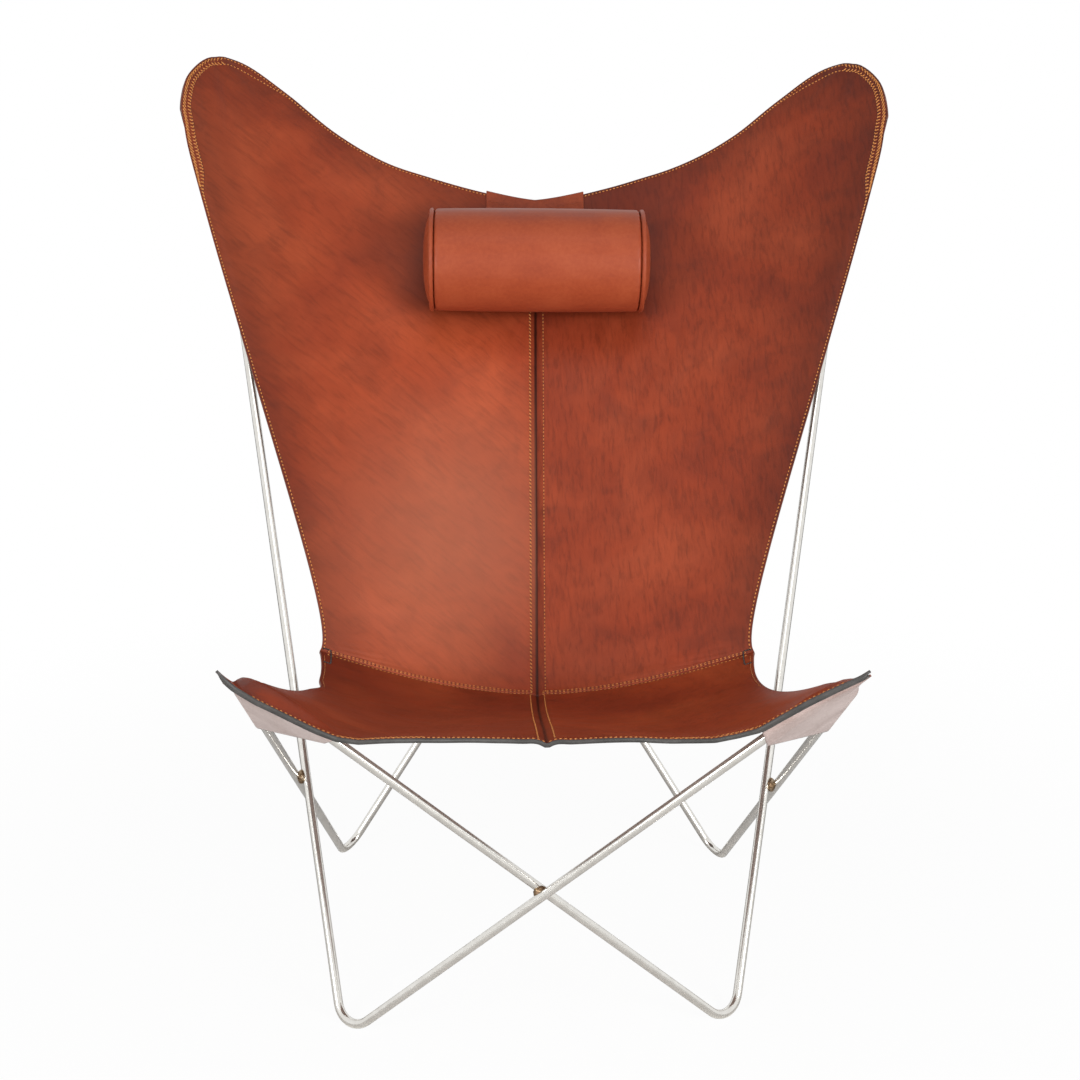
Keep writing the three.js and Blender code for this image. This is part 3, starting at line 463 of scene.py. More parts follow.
sling = {
    "leather": 3.0, "lining": 2.4, "seamGap": 0.5, "fit": 0.3,
    "backCentre": [(250, 291), (300.7, 299.9), (498.43, 639.8), (757, 1030)],
    "seatCentre": [(250, 291), (191.5, 282.8), (0.4, 345.6), (-140, 382)],
    "backEdge": [(257, 250, 346), (233.4, 265.8, 372), (360.4, 429.3, 640.1), (486, 667, 1030)],
    "seatEdge": [(257, 250, 346), (230.05, 105.2, 316), (286.4, -23.9, 394), (306, -176, 471)],
    "topEdge": [0.834, 0.8445, 0.86, 0.8795, 0.911, 0.9535, 0.9865, 0.992, 0.976, 0.951, 0.936],
    "foldRib": (0.4, 0.45), "wingRib": (0.8, 0.12), "wingRibFrom": 0.45, "wingRibTo": 0.95,
    "frontRib": (0.66, 0.12), "squareShare": 0.75,
    "ridgeHeight": 6.9, "ridgeRadius": 8, "ridgeSoftness": 1, "cornerSteps": 8,
    # how high the front edge lies at each distance from the middle, on the left and on the right
    "frontEdge": [(0, 379, 379), (40, 383, 382), (80, 386, 385.5), (120, 389.5, 389), (160, 392.5, 393.5),
                  (180, 393.5, 399), (200, 398, 406), (220, 407.5, 419), (245, 420, 434), (275, 435, 450),
                  (295, 448, 460), (304, 456.5, 466), (312, 465, 468)],
    "frontEdgeFrom": 0.72, "probeWidth": 3, "probeShare": 0.012,
    "curl": 6.0, "curlReach": 16, "curlFrom": 0.6, "curlTo": 0.8,
}


def cubic(points, share):
    rest = 1 - share
    weights = (rest ** 3, 3 * rest * rest * share, 3 * rest * share * share, share ** 3)
    return [sum(w * p[k] for w, p in zip(weights, points)) for k in range(len(points[0]))]


def ribRise(share, rib):
    start, softness = rib
    def bent(reach):
        return reach - start + hypot(reach - start, softness)
    return (bent(share) - bent(0)) / (bent(1) - bent(0))


def cornerLine(side, opposite):
    before, corner, after = "rearFoot" + side, "seatCorner" + side, "frontFoot" + opposite
    bend, steps = bendAt(before, corner, after), sling["cornerSteps"]
    turns = [Matrix.Rotation(bend["angle"] * k / steps, 3, bend["axis"]) for k in range(steps + 1)]
    arc = [bend["centre"] + turn @ (bend["start"] - bend["centre"]) for turn in turns]
    return [cornerPoint(before)] + arc + [cornerPoint(after)], *planeOf(corner, before, after)


seatCorners = {sign: cornerLine(side, opposite) for side, sign, opposite in layout["sides"]}


def overRods(point):
    line, corner, normal = seatCorners[-1 if point.x < 0 else 1]
    height = (point - corner).dot(normal)
    foot = point - normal * height
    distance = 1e9
    for a, b in zip(line, line[1:]):
        near, share = intersect_point_line(foot, a, b)
        near = a if share < 0 else b if share > 1 else near
        distance = min(distance, (near - foot).length)
    ridge = sling["ridgeHeight"] - distance ** 2 / (2 * sling["ridgeRadius"])
    lift = (ridge - height + hypot(ridge - height, sling["ridgeSoftness"])) / 2
    return point + normal * lift


def slingPoint(x, along):
    share = abs(along)
    back = along >= 0
    centre = cubic(sling["backCentre" if back else "seatCentre"], share)
    halfWidth, edgeDepth, edgeHeight = cubic(sling["backEdge" if back else "seatEdge"], share)
    end = sling["wingRib" if back else "frontRib"]
    mix = smoothstep(share, sling["wingRibFrom"], sling["wingRibTo"]) if back else smoothstep(share, 0, 1)
    rib = [lerp(a, b, mix) for a, b in zip(sling["foldRib"], end)]
    reach = abs(x) / halfWidth
    rise = ribRise(reach, rib)
    height = lerp(centre[1], edgeHeight, rise)
    if back:
        # the last millimetres of the wings curl back behind the rods
        curl = max(0, 1 - (1 - reach) * halfWidth / sling["curlReach"]) ** 2 * sling["curl"]
        curl *= smoothstep(share, sling["curlFrom"], sling["curlTo"])
        return Vector((x, lerp(centre[0], edgeDepth, rise) + 0.8 * curl, height - 0.6 * curl))
    # the last stretch settles to the height of the front edge, which hangs a little lower on the left
    frontRise = ribRise(reach, sling["frontRib"])
    frontHeight = lerp(sling["seatCentre"][-1][1], sling["seatEdge"][-1][2], frontRise)
    height += (frontEdgeHeight(x) - frontHeight) * smoothstep(share, sling["frontEdgeFrom"], 1)
    depth = lerp(centre[0], edgeDepth, smoothstep(reach, 0, sling["squareShare"]))
    return overRods(Vector((x, depth, height)))


def frontEdgeHeight(x):
    side = 1 if x < 0 else 2
    marks = sling["frontEdge"]
    for near, far in zip(marks, marks[1:]):
        if abs(x) <= far[0]:
            return lerp(near[side], far[side], (abs(x) - near[0]) / (far[0] - near[0]))
    return marks[-1][side]


def halfWidthAt(along):
    return cubic(sling["backEdge" if along >= 0 else "seatEdge"], abs(along))[0]


def slingNormal(x, along):
    width, share = sling["probeWidth"], sling["probeShare"]
    across = slingPoint(x + width, along) - slingPoint(x - width, along)
    up = slingPoint(x, along + share) - slingPoint(x, along - share)
    return across.cross(up).normalized()


def topEdgeAt(column):
    shares = sling["topEdge"]
    steps = len(shares) - 1
    place = clamp(column) * steps
    k = min(int(place), steps - 1)
    t = place - k
    a, b, c, d = (shares[int(clamp(i, 0, steps))] for i in (k - 1, k, k + 1, k + 2))
    return b + t / 2 * (c - a + t * (2 * a - 5 * b + 4 * c - d + t * (3 * (b - c) + d - a)))


def columnReach(column):
    return sin(column * pi / 2)


# How the hide lies: dipped and puffed along the centre seam, slack waves elsewhere, creases at the notches
lie = {
    "backLength": 900, "seatLength": 450,
    "dip": 2.2, "dipWidth": 4.2, "puff": 0.9, "puffAt": 13, "puffWidth": 7, "foldDip": 1.6, "foldWidth": 5.0,
    "wave": 2.4, "waveSize": 150, "ripple": 0.8, "rippleSize": 42,
    "calmNearFold": (6, 60), "calmNearEdge": (4, 70),
    "crease": 1.5, "creaseReach": 62, "creaseAt": 25, "creasePitch": 4.2, "creaseLean": 0.35,
    "creaseFrom": (8, 20),
    "ridge": 2.6, "ridgeWidth": 10, "ridgeFrom": 0.6, "ridgeStart": (8, 30), "ridgeEnd": (70, 190),
}


def wingRidge(x, along):
    # the rods of the wing press a soft ridge into the hide, which fades away from the tip
    side, opposite = ("Left", "Right") if x < 0 else ("Right", "Left")
    feet = "frontFoot" + side, "rearFoot" + opposite
    corner, normal = planeOf("wing" + side, *feet)
    fromCorner = slingPoint(x, along) - corner
    fromCorner -= normal * fromCorner.dot(normal)
    total = 0.0
    for foot in feet:
        direction = (cornerPoint(foot) - corner).normalized()
        run = fromCorner.dot(direction)
        aside = (fromCorner - direction * run).length
        fade = smoothstep(run, *lie["ridgeStart"]) * (1 - smoothstep(run, *lie["ridgeEnd"]))
        total = max(total, bell(aside, lie["ridgeWidth"]) * fade)
    return total * lie["ridge"]


def relief(x, along):
    reach = abs(x)
    run = along * lie["backLength" if along >= 0 else "seatLength"]
    inside = halfWidthAt(along) - reach
    seam = lie["puff"] * bell(reach - lie["puffAt"], lie["puffWidth"])
    seam -= lie["dip"] * bell(reach, lie["dipWidth"])
    fold = -lie["foldDip"] * bell(run, lie["foldWidth"])
    wave = 0.0
    for kind, layer in (("wave", 1.3), ("ripple", 7.7)):
        size = lie[kind + "Size"]
        wave += lie[kind] * noise.noise(Vector((x / size, run / size, layer)))
    # short creases run in from the side notches, where the leather is pinched
    notch = bell(hypot(inside, run - lie["creaseAt"]), lie["creaseReach"])
    notch *= smoothstep(run, *lie["creaseFrom"])
    crease = lie["crease"] * notch * sin((run - lie["creaseLean"] * inside) / lie["creasePitch"])
    ridge = wingRidge(x, along) if along > lie["ridgeFrom"] else 0.0
    slack = wave * smoothstep(abs(run), *lie["calmNearFold"]) + crease
    return seam + fold + slack * smoothstep(inside, *lie["calmNearEdge"]) + ridge


def onSling(x, along, lift=0.0):
    return toScene(slingPoint(x, along) + slingNormal(x, along) * (lift + relief(x, along)))


panels = {
    "seamShare": 0.14, "seamColumns": 0.045, "backGrid": (78, 124), "seatGrid": (64, 92),
    "sideCrowding": 0.7, "foldCrowding": 0.15, "frontCrowding": 0.65, "foldGapShare": 0.0015,
    "backLength": 950, "cornerCut": 3.6, "cornerReach": 25,
    "tipLeft": 5.5, "tipRight": -2.5, "nip": 6.5, "nipAt": 0.29, "nipWidth": 0.05, "farFromEdge": 200.0,
}


def spreadColumn(a):
    # the first columns stand close together to carry the fold along the centre seam
    if a < panels["seamShare"]:
        return a / panels["seamShare"] * panels["seamColumns"]
    return lerp(panels["seamColumns"], 1, (a - panels["seamShare"]) / (1 - panels["seamShare"]))


def backPlace(sign, column, row):
    along = lerp(panels["foldGapShare"], topEdgeAt(column), row)
    x = sign * lerp(sling["seamGap"] / 2, halfWidthAt(along), columnReach(column))
    # the corner where the top edge runs into the flank is cut round
    top = topEdgeAt(1)
    reach = hypot(abs(x) - halfWidthAt(top), (along - top) * panels["backLength"])
    return x - sign * panels["cornerCut"] * bell(reach, panels["cornerReach"]), along


def backReach(sign, along):
    return halfWidthAt(along)


def seatReach(sign, along):
    # the left corner is pulled a little further out, and its side edge is nipped in where it turns forwards
    tip = panels["tipLeft" if sign < 0 else "tipRight"] * smoothstep(-along, 0.86, 1)
    nip = panels["nip"] * bell(along + panels["nipAt"], panels["nipWidth"]) if sign < 0 else 0.0
    return halfWidthAt(along) + tip - nip


def seatPlace(sign, column, row):
    side, fold, front = panels["sideCrowding"], panels["foldCrowding"], panels["frontCrowding"]
    spread = column * (1 + side * (1 - column))
    along = -lerp(panels["foldGapShare"], 1, row * (1 + fold + row * (front * (1 - row) - fold)))
    return sign * lerp(sling["seamGap"] / 2, seatReach(sign, along), spread), along


def sheetFrom(placeAt, grid, pointAt, edgeAt=None, inkAt=None):
    # inkAt says where the cut edge is inked dark: 1 on the vertices of that edge
    bm = bmesh.new()
    bmesh.ops.create_grid(bm, x_segments=grid[0], y_segments=grid[1], size=0.5)
    edge = bm.verts.layers.float.new("edgeMm")
    ink = bm.verts.layers.float.new("inked")
    for v in bm.verts:
        a, b = clamp(v.co.x + 0.5), clamp(v.co.y + 0.5)
        place = placeAt(a, b)
        v.co = pointAt(*place)
        v[edge] = edgeAt(a, place) if edgeAt else panels["farFromEdge"]
        v[ink] = float(inkAt(b)) if inkAt else 0.0
    # rows that fall together, as at a drawn-in tip, are joined
    bmesh.ops.remove_doubles(bm, verts=bm.verts, dist=layout["joined"])
    return bm


def faceOut(bm, towards):
    # an open sheet has no inside, so it is turned by where its middle face looks
    bm.normal_update()
    bm.faces.ensure_lookup_table()
    if bm.faces[len(bm.faces) // 2].normal.dot(Vector(towards)) < 0:
        bmesh.ops.reverse_faces(bm, faces=bm.faces)
    return bm


def addSheet(name, bm, towards, thickness, grain="flesh", bevel=0.35, body="chair"):
    piece = addPiece(name, faceOut(bm, towards), [grain, "flesh", "edge"], [nodeOf(name)], body)
    return addThickness(piece, thickness, bevel)


def atFarEnd(b):
    return b > 0.999


def atNearEnd(b):
    return b < 0.001


def buildPanel(side, sign, kind, placeAt, reachAt, towards, inkAt):
    def edgeAt(a, place):
        x, along = place
        here = slingPoint(x, along)
        atSide = slingPoint(sign * reachAt(sign, along), along)
        atEnd = slingPoint(*placeAt(sign, spreadColumn(a), 1))
        return min((here - atSide).length, (here - atEnd).length)
    bm = sheetFrom(lambda a, b: placeAt(sign, spreadColumn(a), b), panels[kind + "Grid"], onSling,
                   edgeAt, inkAt)
    addSheet(kind + side, bm, towards, sling["leather"], kind + side)


for panelSide, panelSign, _ in layout["sides"]:
    buildPanel(panelSide, panelSign, "back", backPlace, backReach, (0, -0.8, 0.6), None)
    buildPanel(panelSide, panelSign, "seat", seatPlace, seatReach, (0, 0, 1), atFarEnd)
print("chair: sling panels built")


# ---- strips under the seams

layerPitch = (sling["leather"] + sling["lining"]) / 2 + sling["fit"]
strips = {
    "seamWidth": 28, "foldWidth": 26, "frontWidth": 18, "frontLength": 390,
    "depth": layerPitch + sling["fit"],
    "backEnd": 0.8, "gap": 0.012, "foldEnd": 0.97, "pocketShare": 0.64, "bevel": 0.25,
    "frontEnd": 0.988, "frontThickness": 1.5, "frontDepth": 2.5,
}


def buildStrips():
    # half the fold strip's width, as a share of the back and of the seat
    starts = (sling[curve][:2] for curve in ("backCentre", "seatCentre"))
    backFold, seatFold = (strips["foldWidth"] / 2 / (3 * hypot(p[0] - q[0], p[1] - q[1])) for p, q in starts)
    frontStart = 1 - strips["frontWidth"] / strips["frontLength"]
    gap = strips["gap"]
    def seamAcross(a):
        return strips["seamWidth"] * (a - 0.5)
    def across(a, along, end):
        return lerp(-end, end, a) * halfWidthAt(along), along
    lining, front = (strips["depth"], sling["lining"]), (strips["frontDepth"], strips["frontThickness"])
    for name, placeAt, grid, (depth, thickness), inkAt in (
            ("backSeamStrip", lambda a, b: (seamAcross(a), lerp(backFold + gap, strips["backEnd"], b)),
             (10, 70), lining, None),
            ("seatSeamStrip", lambda a, b: (seamAcross(a), -lerp(seatFold + gap, frontStart - gap, b)),
             (10, 46), lining, None),
            ("foldStrip", lambda a, b: across(a, lerp(-seatFold, backFold, b), strips["foldEnd"]), (60, 10),
             lining, None),
            ("frontEdgeStrip", lambda a, b: across(a, -lerp(frontStart, strips["frontEnd"], b),
                                                    strips["pocketShare"]), (60, 6), front, atFarEnd)):
        bm = sheetFrom(placeAt, grid, lambda x, along: onSling(x, along, -depth), None, inkAt)
        addSheet(name, bm, (0, -0.6, 0.8), thickness, bevel=strips["bevel"])


buildStrips()

# Wing pockets: flat behind the rods, and up to the panel along the sewn edge
wingPocket = {"tuck": 3.0, "innerColumn": 0.42, "tipShare": 0.012, "outerStart": 0.8, "margin": 15,
              "grid": (56, 48)}


def buildWingPocket(side, sign, opposite):
    behind = rods["radius"] + sling["fit"] + sling["lining"] / 2
    origin, normal = planeOf("wing" + side, "frontFoot" + side, "rearFoot" + opposite)
    def placeAt(a, b):
        column = lerp(wingPocket["innerColumn"], 1, a)
        start = topEdgeAt(wingPocket["innerColumn"]) - wingPocket["tipShare"]
        along = lerp(lerp(start, wingPocket["outerStart"], a), topEdgeAt(column), b)
        # its outer edge lies just inside the panel's
        return sign * columnReach(column) * (halfWidthAt(along) - wingPocket["tuck"] * a), along, column
    def pocketPoint(x, along, column):
        here = slingPoint(x, along)
        top = topEdgeAt(column)
        toSide = (here - slingPoint(sign * halfWidthAt(along), along)).length
        toTop = (here - slingPoint(sign * columnReach(column) * halfWidthAt(top), top)).length
        sewn = here - slingNormal(x, along) * layerPitch
        flat = here - normal * ((here - origin).dot(normal) + behind)
        return toScene(sewn.lerp(flat, smoothstep(min(toSide, toTop), 0, wingPocket["margin"])))
    bm = sheetFrom(placeAt, wingPocket["grid"], pocketPoint)
    addSheet("wingPocket" + side, bm, (0, 0.8, -0.6), sling["lining"], grain="back" + side, bevel=0)


# Seat pockets: from the front edge under both rods, round the rear one and up to the side edge
seatPocket = {"tipShare": 0.05, "frontShare": 0.34, "sideShare": 0.4, "rearReach": 196, "frontReach": 133,
              "frontSteps": 4, "flatSteps": 8, "wrapSteps": 9, "endSteps": 4, "columns": 40, "closing": 6,
              "closingCurve": 0.7, "shortFront": pi / 4, "shortRear": 0.64 * pi, "past": 0.05,
              "tip": (0.965, -0.985)}


def buildSeatPocket(side, sign, opposite):
    clear = rods["radius"] + sling["fit"] * 3 + sling["lining"] / 2
    pitch = layerPitch + sling["fit"] / 2
    before, after = "rearFoot" + side, "frontFoot" + opposite
    corner, normal = planeOf("seatCorner" + side, before, after)
    bend = bendAt(before, "seatCorner" + side, after)
    def under(x, along):
        return slingPoint(x, along) - slingNormal(x, along) * pitch
    def wrap(centre, away, angle):
        return centre - normal * clear * cos(angle) + away * clear * sin(angle)
    def turnTo(seam, centre, away, short):
        out, up = (seam - centre).dot(away), (seam - centre).dot(normal)
        reach = hypot(out, up)
        if reach < sqrt(2) * clear:
            return short, False
        return max(0.0, atan2(up, out) + pi / 2 - acos(clear / reach)), True
    def rodAt(end, foot, reach, q):
        # from the middle of the bend out along one straight rod, with the direction that faces outwards
        radius = rods["bendRadius"]["seat"]
        arc = radius * bend["angle"] / 2
        distance = q * (arc + reach - (end - corner).length)
        middle, outer = (corner - bend["centre"]).normalized(), (end - bend["centre"]).normalized()
        away = middle.slerp(outer, min(distance / arc, 1))
        along = (cornerPoint(foot) - corner).normalized()
        return bend["centre"] + away * radius + along * max(distance - arc, 0), away
    def section(q):
        share = lerp(seatPocket["tipShare"], 1, q)
        front, forward = rodAt(bend["end"], after, seatPocket["frontReach"], q)
        rear, outward = rodAt(bend["start"], before, seatPocket["rearReach"], q)
        sideShare = 1 - seatPocket["sideShare"] * share
        frontSeam = under(sign * halfWidthAt(-1) * (1 - seatPocket["frontShare"] * share), -1)
        sideSeam = under(sign * halfWidthAt(-sideShare), -sideShare)
        frontTurn, _ = turnTo(frontSeam, front, forward, seatPocket["shortFront"])
        rearTurn, free = turnTo(sideSeam, rear, outward, seatPocket["shortRear"])
        turns, flat = seatPocket["frontSteps"], seatPocket["flatSteps"]
        steps, ends = seatPocket["wrapSteps"], seatPocket["endSteps"]
        points = [frontSeam, frontSeam.lerp(wrap(front, forward, frontTurn), 0.5)]
        points += [wrap(front, forward, frontTurn * (1 - k / turns)) for k in range(turns)]
        points += [wrap(front, forward, 0).lerp(wrap(rear, outward, 0), k / flat) for k in range(flat + 1)]
        points += [wrap(rear, outward, rearTurn * (k + 1) / steps) for k in range(steps)]
        end = sideSeam if free else wrap(rear, outward, rearTurn + seatPocket["past"])
        return points + [points[-1].lerp(end, k / ends) for k in range(1, ends + 1)]
    # at the tip the pocket is drawn together under the corner of the panel
    share, along = seatPocket["tip"]
    tip = under(sign * seatReach(sign, -1) * share, along)
    first, closing = section(0), seatPocket["closing"]
    drawn = [1 - (k / closing) ** seatPocket["closingCurve"] for k in range(closing)]
    sections = [[point.lerp(tip, pull) for point in first] for pull in drawn]
    sections += [section(k / seatPocket["columns"]) for k in range(seatPocket["columns"] + 1)]
    columns, rows = len(sections) - 1, len(first) - 1
    bm = sheetFrom(lambda a, b: (round(a * columns), round(b * rows)), (columns, rows),
                   lambda k, row: toScene(sections[k][row]), None, atNearEnd)
    addSheet("seatPocket" + side, bm, (0, -0.5, -0.8), sling["lining"], bevel=0)


for buildPocket in (buildWingPocket, buildSeatPocket):
    for pocketSide in layout["sides"]:
        buildPocket(*pocketSide)

# The front edge: panel and lining are pared, glued and inked into one dark rounded band
frontBand = {"halfHeight": (2.3, 2.7), "drop": (0.85, 1.3), "halfDepth": 1.4, "inset": 0.4,
             "taper": 9, "endShare": 0.25, "step": 0.004,
             "pocketFrom": 165, "pocketTo": 230, "grid": (220, 12)}


def buildFrontBand():
    left, right = seatReach(-1, -1), seatReach(1, -1)
    def pathAt(a):
        x = lerp(-left, right, clamp(a))
        return slingPoint(x, -1) + slingNormal(x, -1) * relief(x, -1)
    def bandPoint(a, b):
        tangent = (pathAt(a + frontBand["step"]) - pathAt(a - frontBand["step"])).normalized()
        x = lerp(-left, right, a)
        out = tangent.cross(slingNormal(x, -1)).normalized()
        out = out if out.y < 0 else -out
        up = out.cross(tangent).normalized()
        up = up if up.z > 0 else -up
        fine = lerp(frontBand["endShare"], 1, smoothstep(min(x + left, right - x), 0, frontBand["taper"]))
        # it is thicker where the pocket is bound in as well
        bound = smoothstep(abs(x), frontBand["pocketFrom"], frontBand["pocketTo"])
        halfHeight, drop = (lerp(*frontBand[key], bound) * fine for key in ("halfHeight", "drop"))
        turn = 2 * pi * b
        centre = pathAt(a) - up * drop - out * frontBand["inset"]
        return toScene(centre + out * frontBand["halfDepth"] * fine * cos(turn) + up * halfHeight * sin(turn))
    bm = sheetFrom(lambda a, b: (a, b), frontBand["grid"], bandPoint, None, lambda b: True)
    bmesh.ops.holes_fill(bm, edges=[e for e in bm.edges if e.is_boundary], sides=0)
    bmesh.ops.recalc_face_normals(bm, faces=bm.faces)
    addPiece("frontEdgeBand", bm, ["edge"])


buildFrontBand()
print("chair: strips and pockets built")


# ---- hand stitching

# Threads are drawn a third coarser than the real 3.5 mm stitches, which would run together in the render.
thread = {"length": 3.0, "gap": 1.9, "radius": 0.82, "sink": 0.15, "holeRadius": 0.95, "holeSink": 0.6}
threadLift = sling["leather"] / 2 + thread["radius"] * thread["sink"]


def stitchShape(around, along, index):
    bm = bmesh.new()
    bmesh.ops.create_uvsphere(bm, u_segments=around, v_segments=along, radius=1.0)
    bmesh.ops.rotate(bm, verts=bm.verts, cent=(0, 0, 0), matrix=Matrix.Rotation(pi / 2, 3, "Y"))
    for face in bm.faces:
        face.material_index = index
    mesh = bpy.data.meshes.new("stitch shape")
    bm.to_mesh(mesh)
    bm.free()
    return mesh


stitchMesh = stitchShape(6, 5, 0)
holeMesh = stitchShape(5, 4, 1)


def addStitch(bm, start, end, normal, radius, template=stitchMesh):
    along = end - start
    side = normal.cross(along).normalized()
    up = along.cross(side).normalized()
    shape = Matrix((along / 2, side * radius * unit, up * radius * unit)).transposed().to_4x4()
    copy = template.copy()
    copy.transform(Matrix.Translation((start + end) / 2) @ shape)
    bm.from_mesh(copy)
    bpy.data.meshes.remove(copy)


def addHole(bm, start, end, normal, sink=thread["holeSink"]):
    # the needle hole between two stitches is a dark dot of painted shade
    sunk = normal * thread["holeRadius"] * sink * unit
    addStitch(bm, start - sunk, end - sunk, normal, thread["holeRadius"], holeMesh)


class SewnPath:
    # a line on the sling that can be walked by its length in millimetres
    def __init__(self, places, lift=0.0):
        self.places, self.lift = places, threadLift + lift
        self.marks = [0.0]
        points = [slingPoint(*place) for place in places]
        for a, b in zip(points, points[1:]):
            self.marks.append(self.marks[-1] + (b - a).length)
        self.length = self.marks[-1]

    def at(self, distance):
        distance = clamp(distance, 0.0, self.length)
        low, high = 0, len(self.marks) - 1
        while high - low > 1:
            middle = (low + high) // 2
            if self.marks[middle] <= distance:
                low = middle
            else:
                high = middle
        span = self.marks[high] - self.marks[low]
        share = (distance - self.marks[low]) / span if span else 0.0
        x, along = (lerp(a, b, share) for a, b in zip(self.places[low], self.places[high]))
        return onSling(x, along, self.lift), slingNormal(x, along)


def straight(start, end, steps):
    return [tuple(lerp(a, b, k / steps) for a, b in zip(start, end)) for k in range(steps + 1)]


inset = {"rounds": 3, "stepX": 0.5, "stepAlong": 0.0008, "turnedAt": 0.9}


def insetPlaces(boundary, insetAt, sign):
    # moves a line inwards over the surface by so many millimetres
    result = []
    last = len(boundary) - 1
    for k, (x, along) in enumerate(boundary):
        before, after = boundary[max(k - 1, 0)], boundary[min(k + 1, last)]
        tangent = (slingPoint(*after) - slingPoint(*before)).normalized()
        inward = tangent.cross(slingNormal(x, along)) * sign
        target = slingPoint(x, along) + inward * insetAt(k / last)
        for _ in range(inset["rounds"]):
            stepX, stepAlong = inset["stepX"], inset["stepAlong"] * (-1 if along > inset["turnedAt"] else 1)
            spot = slingPoint(x, along)
            byX = slingPoint(x + stepX, along) - spot
            byAlong = slingPoint(x, along + stepAlong) - spot
            miss = target - spot
            a, b, c = byX.dot(byX), byX.dot(byAlong), byAlong.dot(byAlong)
            p, q = miss.dot(byX), miss.dot(byAlong)
            scale = a * c - b * b
            x += stepX * (p * c - q * b) / scale
            along += stepAlong * (a * q - b * p) / scale
        result.append((x, along))
    return result


def sewRow(bm, path, start=0.0, end=None, radius=thread["radius"], length=thread["length"],
           gap=thread["gap"]):
    pitch = length + gap
    for k in range(max(1, int(((end or path.length) - start) / pitch))):
        s = start + k * pitch
        a, normal = path.at(s)
        b, _ = path.at(s + length)
        c, _ = path.at(s + pitch)
        addStitch(bm, a, b, normal, radius)
        addHole(bm, b, c, normal)


# where the threads of a pair meet, and the place of each needle hole across the band and along it
crossing = {"pitch": 5.2, "lean": 3.6, "radius": 0.9, "meeting": 0.42, "holes": ((-0.06, 0.62), (0.34, 1.05)),
            "holeLength": 0.42}


def sewCross(bm, outer, inner, start, end):
    # herringbone: each pair of threads leans from both sides towards the middle of the band
    ratio = inner.length / outer.length
    for k in range(int((end - start) / crossing["pitch"])):
        s = start + k * crossing["pitch"]
        a, normal = outer.at(s)
        c, _ = inner.at(s * ratio)
        b, _ = outer.at(s + crossing["lean"])
        d, _ = inner.at((s + crossing["lean"]) * ratio)
        addStitch(bm, a, b.lerp(d, crossing["meeting"]), normal, crossing["radius"])
        addStitch(bm, c, d.lerp(b, crossing["meeting"]), normal, crossing["radius"])
        for near, far in ((a, c), (c, a)):
            for across, ahead in crossing["holes"]:
                spot = near.lerp(far, across) + (b - a) * ahead
                addHole(bm, spot, spot + (b - a) * crossing["holeLength"], normal)


slant = {"pitch": 4.9, "lean": 3.0, "radius": 0.85, "holeSink": 0.5, "holeReach": 0.75}


def sewSlanted(bm, inner, outer):
    for k in range(int(inner.length / slant["pitch"])):
        s = k * slant["pitch"]
        a, normal = inner.at(s)
        b, _ = outer.at(s + slant["lean"])
        c, _ = inner.at(s + slant["pitch"])
        addStitch(bm, a, b, normal, slant["radius"])
        addHole(bm, b, b.lerp(c, slant["holeReach"]), normal, slant["holeSink"])


sewing = {
    # round each half of the back: an edge row, a row that holds the pocket, and between them the crossed tip
    "outlineSteps": 150, "edgeInset": 3.0, "edgeFrom": 66.0, "rimInset": 1.7,
    "crossBefore": 126, "crossAfter": 112,
    "pocketInset": (3.4, 12.0), "pocketWithin": 300, "pocketLead": 6, "pocketRise": 75, "pocketFall": 26,
    "pocketAfter": 142,
    # beside the centre seam of the back
    "seamFrom": 0.02, "seamTo": 0.818, "seamInset": 9.8, "seamRadius": 0.6, "slantInsets": (5.8, 8.4),
    # along the fold: where each row lies, and how fine its thread is
    "foldRows": ((0.0105, 0.48), (0.026, 0.44), (-0.014, 0.42)), "foldStart": 6, "foldMargin": 4,
    # on the seat: beside the centre seam, inside the front edge, and down the side below the notch
    "seatInset": 8.4, "seatFrom": -0.03, "seatTo": -0.97, "frontStart": 2, "frontMargin": 22,
    "frontInset": 4.2, "frontSecond": 8.6, "secondFrom": 120, "secondTo": 205,
    "sideTo": -0.3, "sideInset": 4.0, "sideRadius": 0.4,
    # the black tack over the end of the fold seam
    "tackInsets": (1.4, 10.5), "tackFrom": 0.03, "tackTo": -0.07, "tackLift": 0.3, "tackRadius": 1.0,
    "tackLength": 2.5, "tackGap": 0.5,
}


def sewOutline(side, sign):
    steps = sewing["outlineSteps"]
    top = [backPlace(sign, k / steps, 1) for k in range(steps + 1)]
    outline = top + [backPlace(sign, 1, 1 - k / steps) for k in range(1, steps + 1)]
    def rowAt(insetAt):
        return SewnPath(insetPlaces(outline, insetAt, sign))
    edgeRow = rowAt(lambda share: sewing["edgeInset"])
    topLength = SewnPath(top).length
    withinPocket = [place for place in top if abs(place[0]) < sewing["pocketWithin"]]
    pocketStart = SewnPath(withinPocket).length - sewing["pocketLead"]
    pocketEnd = topLength + sewing["pocketAfter"]
    def pocketInset(share):
        # the second row runs out to the first at both ends
        s = share * edgeRow.length
        rise = smoothstep(s, pocketStart, pocketStart + sewing["pocketRise"])
        fall = smoothstep(s, pocketEnd - sewing["pocketFall"], pocketEnd)
        return lerp(*sewing["pocketInset"], rise * (1 - fall))
    innerRow = rowAt(pocketInset)
    ratio = innerRow.length / edgeRow.length
    rim = rowAt(lambda share: sewing["rimInset"])
    bm = bmesh.new()
    sewRow(bm, edgeRow, start=sewing["edgeFrom"])
    sewRow(bm, innerRow, start=pocketStart * ratio, end=pocketEnd * ratio)
    sewCross(bm, rim, innerRow, topLength - sewing["crossBefore"], topLength + sewing["crossAfter"])
    addPiece("backStitching" + side, bm, ["thread", "paintedHoleShade"])


